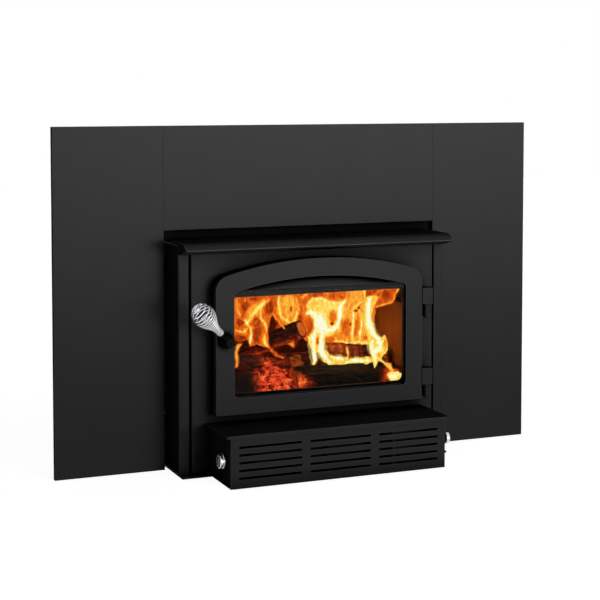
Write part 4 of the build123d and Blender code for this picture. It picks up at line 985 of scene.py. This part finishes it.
front_tongues = [
    (0.84, 5, [(-83, 358), (-97, 348), (-111, 331), (-125, 319)]),
    (0.8, 3, [(-100, 344), (-103, 331), (-102, 317), (-95, 308), (-88, 292), (-86, 279)]),
    (0.95, 6, [(-137, 313), (-132, 304)]),
    (0.95, 3.6, [(-130, 301), (-123, 294), (-123, 281), (-125, 268), (-125, 262)]),
    (0.66, 4, [(-155, 358), (-155, 336), (-148, 322)]),
    (0.78, 3.5, [(-158, 290), (-144, 289), (-132, 295)]),
    (0.68, 3, [(-139, 361), (-134, 352), (-125, 347)]),
    (0.72, 3.5, [(-156, 211), (-156, 226), (-158, 244), (-151, 259), (-142, 267)]),
    (0.58, 2, [(-116, 268), (-109, 261), (-102, 254)]),
    (0.84, 4.5, [(-90, 277), (-90, 266), (-86, 252)]),
    (0.48, 4, [(-86, 255), (-76, 243), (-64, 231), (-50, 226)]),
    (0.66, 2.2, [(-76, 327), (-67, 315), (-55, 304), (-43, 292)]),
    (1.05, 7, [(31, 281), (26, 259), (26, 236), (26, 214)]),
    (0.88, 3, [(26, 218), (23, 201)]),
    (1.05, 7, [(48, 275), (46, 253), (46, 235), (53, 216), (65, 207)]),
    (1.0, 5.5, [(67, 220), (85, 214), (97, 211)]),
    (1.0, 5.5, [(104, 202), (119, 205), (139, 206), (161, 202)]),
    (0.8, 2.6, [(109, 235), (111, 224), (109, 213)]),
    (1.05, 8, [(161, 341), (158, 318), (163, 291), (173, 267), (186, 251)]),
    (1.05, 9, [(183, 246), (191, 241), (183, 228), (173, 222)]),
    (1.0, 5.5, [(173, 249), (168, 231), (173, 210), (176, 194)]),
    (0.82, 3, [(181, 221), (186, 207)]),
    (0.82, 3, [(198, 197), (209, 187), (219, 178)]),
    (1.0, 8, [(214, 164), (229, 165)]),
    (0.7, 3, [(239, 165), (247, 169)]),
    (0.7, 3, [(233, 364), (223, 349), (213, 333), (195, 332), (178, 324)]),
    (0.6, 2.4, [(168, 347), (188, 362), (213, 365)]),
    (0.55, 2, [(198, 341), (208, 354), (213, 363)]),
]
front_holes = [
    (0.34, 11, 11, -134, 343), (0.3, 8, 6, -118, 358), (0.3, 18, 18, -78, 340),
    (0.34, 9, 7, -148, 307), (0.3, 11, 20, -109, 278), (0.1, 9, 8, -111, 305),
    (0.16, 11, 11, -142, 271), (0.34, 11, 9, 168, 358), (0.34, 9, 11, 200, 352),
    (0.44, 11, 6, 188, 339), (0.42, 4, 10, 37, 256), (0.62, 7, 11, 201, 236), (0.66, 4, 9, 186, 216)
]
flame_sheet("front_flames", (-205, 243, 150, 380), 1.8, lambda x: bend(x, 130, 70, 32, -44), 0,
            (front_patches, front_tongues, front_holes), 8.0, 4.0, 4.0)

# %% [markdown]
# The broad lamp lights the whole front, and the narrow one aims above the surround, which gives the
# panels their fade from top to bottom. A path tracer finds light that falls through glass only by
# chance, so a thin lamp behind the pane stands in for it, and two small warm ones for the fire's.

# %% Lamps
def new_lamp(name, kind, place, power):
    data = bpy.data.lights.new(name, kind)
    data.energy = power
    lamp = bpy.data.objects.new(name, data)
    lamp.location = place
    lamp.visible_camera = lamp.visible_transmission = False
    scene.collection.objects.link(lamp)
    return data, lamp


def soft_lamp(name, place, aim, wide, tall, power, beam=180.0):
    data, lamp = new_lamp(name, "AREA", place, power)
    data.shape, data.size, data.size_y = "RECTANGLE", wide, tall
    data.spread = math.radians(beam)
    lamp.rotation_euler = (Vector(aim) - Vector(place)).to_track_quat("-Z", "Y").to_euler()


def glow_lamp(name, place, power):
    data, lamp = new_lamp(name, "POINT", place, power)
    data.shadow_soft_size, data.color = 0.04, (1.0, 0.42, 0.1)
    lamp.visible_glossy = False


soft_lamp("key", (1.0, -3.2, 0.55), (0.05, 0, 1.05), 2.2, 0.4, 4.4, 32.0)
soft_lamp("fill", (1.0, -3.4, 0.5), (0, 0, 0.42), 1.8, 0.8, 31.0)
soft_lamp("through_pane", (0, -0.084, 0.366), (0, -0.062, 0.395), 0.46, 0.006, 0.1, 70.0)
glow_lamp("fire_middle", (0.11, 0.01, 0.26), 1.1)
glow_lamp("fire_left", (-0.1, 0.03, 0.28), 0.5)
print("lamps", len(bpy.data.lights))

# %% [markdown]
# The room is white where it is seen, mirrored or looked at through glass, and dim where it only
# lights, so that black steel stays black. The floor is pale and takes a soft shadow.

# %% Room and floor
def seen_rays(tree):
    """1 for rays that see a surface and 0 for rays that carry light."""
    ray = add_node(tree, "LightPath").outputs
    seen = calc(tree, "MAXIMUM", ray["Is Camera Ray"], ray["Is Glossy Ray"])
    return calc(tree, "MAXIMUM", seen, ray["Is Transmission Ray"])


room = scene.world = bpy.data.worlds.new("room")
room.use_nodes = True
tree = room.node_tree
tree.nodes.clear()
light = {"Color": (1, 1, 1, 1), "Strength": spread(tree, seen_rays(tree), 0, 1, 0.05, 1.0)}
add_node(tree, "OutputWorld", {"Surface": add_node(tree, "Background", light).outputs[0]})

tree, skin, here = new_finish("floor", Roughness=0.9, Specular_IOR_Level=0.1,
                              Emission_Color=(1, 1, 1, 1))
away = add_node(tree, "VectorMath", {0: here}, operation="LENGTH").outputs["Value"]
lay(skin, Base_Color=tint(tree, grain(tree, here, 3.0), [(0.3, grey(0.86)), (0.7, grey(0.9))]),
    Emission_Strength=times(tree, seen_rays(tree), spread(tree, away, 0.8, 2.0, 0.93, 1.0)))
reach, drop = 9, -0.0005
floor_mesh = bpy.data.meshes.new("floor")
floor_mesh.from_pydata([(-reach, -reach, drop), (reach, -reach, drop), (reach, reach, drop),
                        (-reach, reach, drop)], [], [(0, 1, 2, 3)])
floor_mesh.materials.append(finishes["floor"])
floor = bpy.data.objects.new("floor", floor_mesh)
scene.collection.objects.link(floor)
print("room and floor done")

# %% Finish
print("scene done")
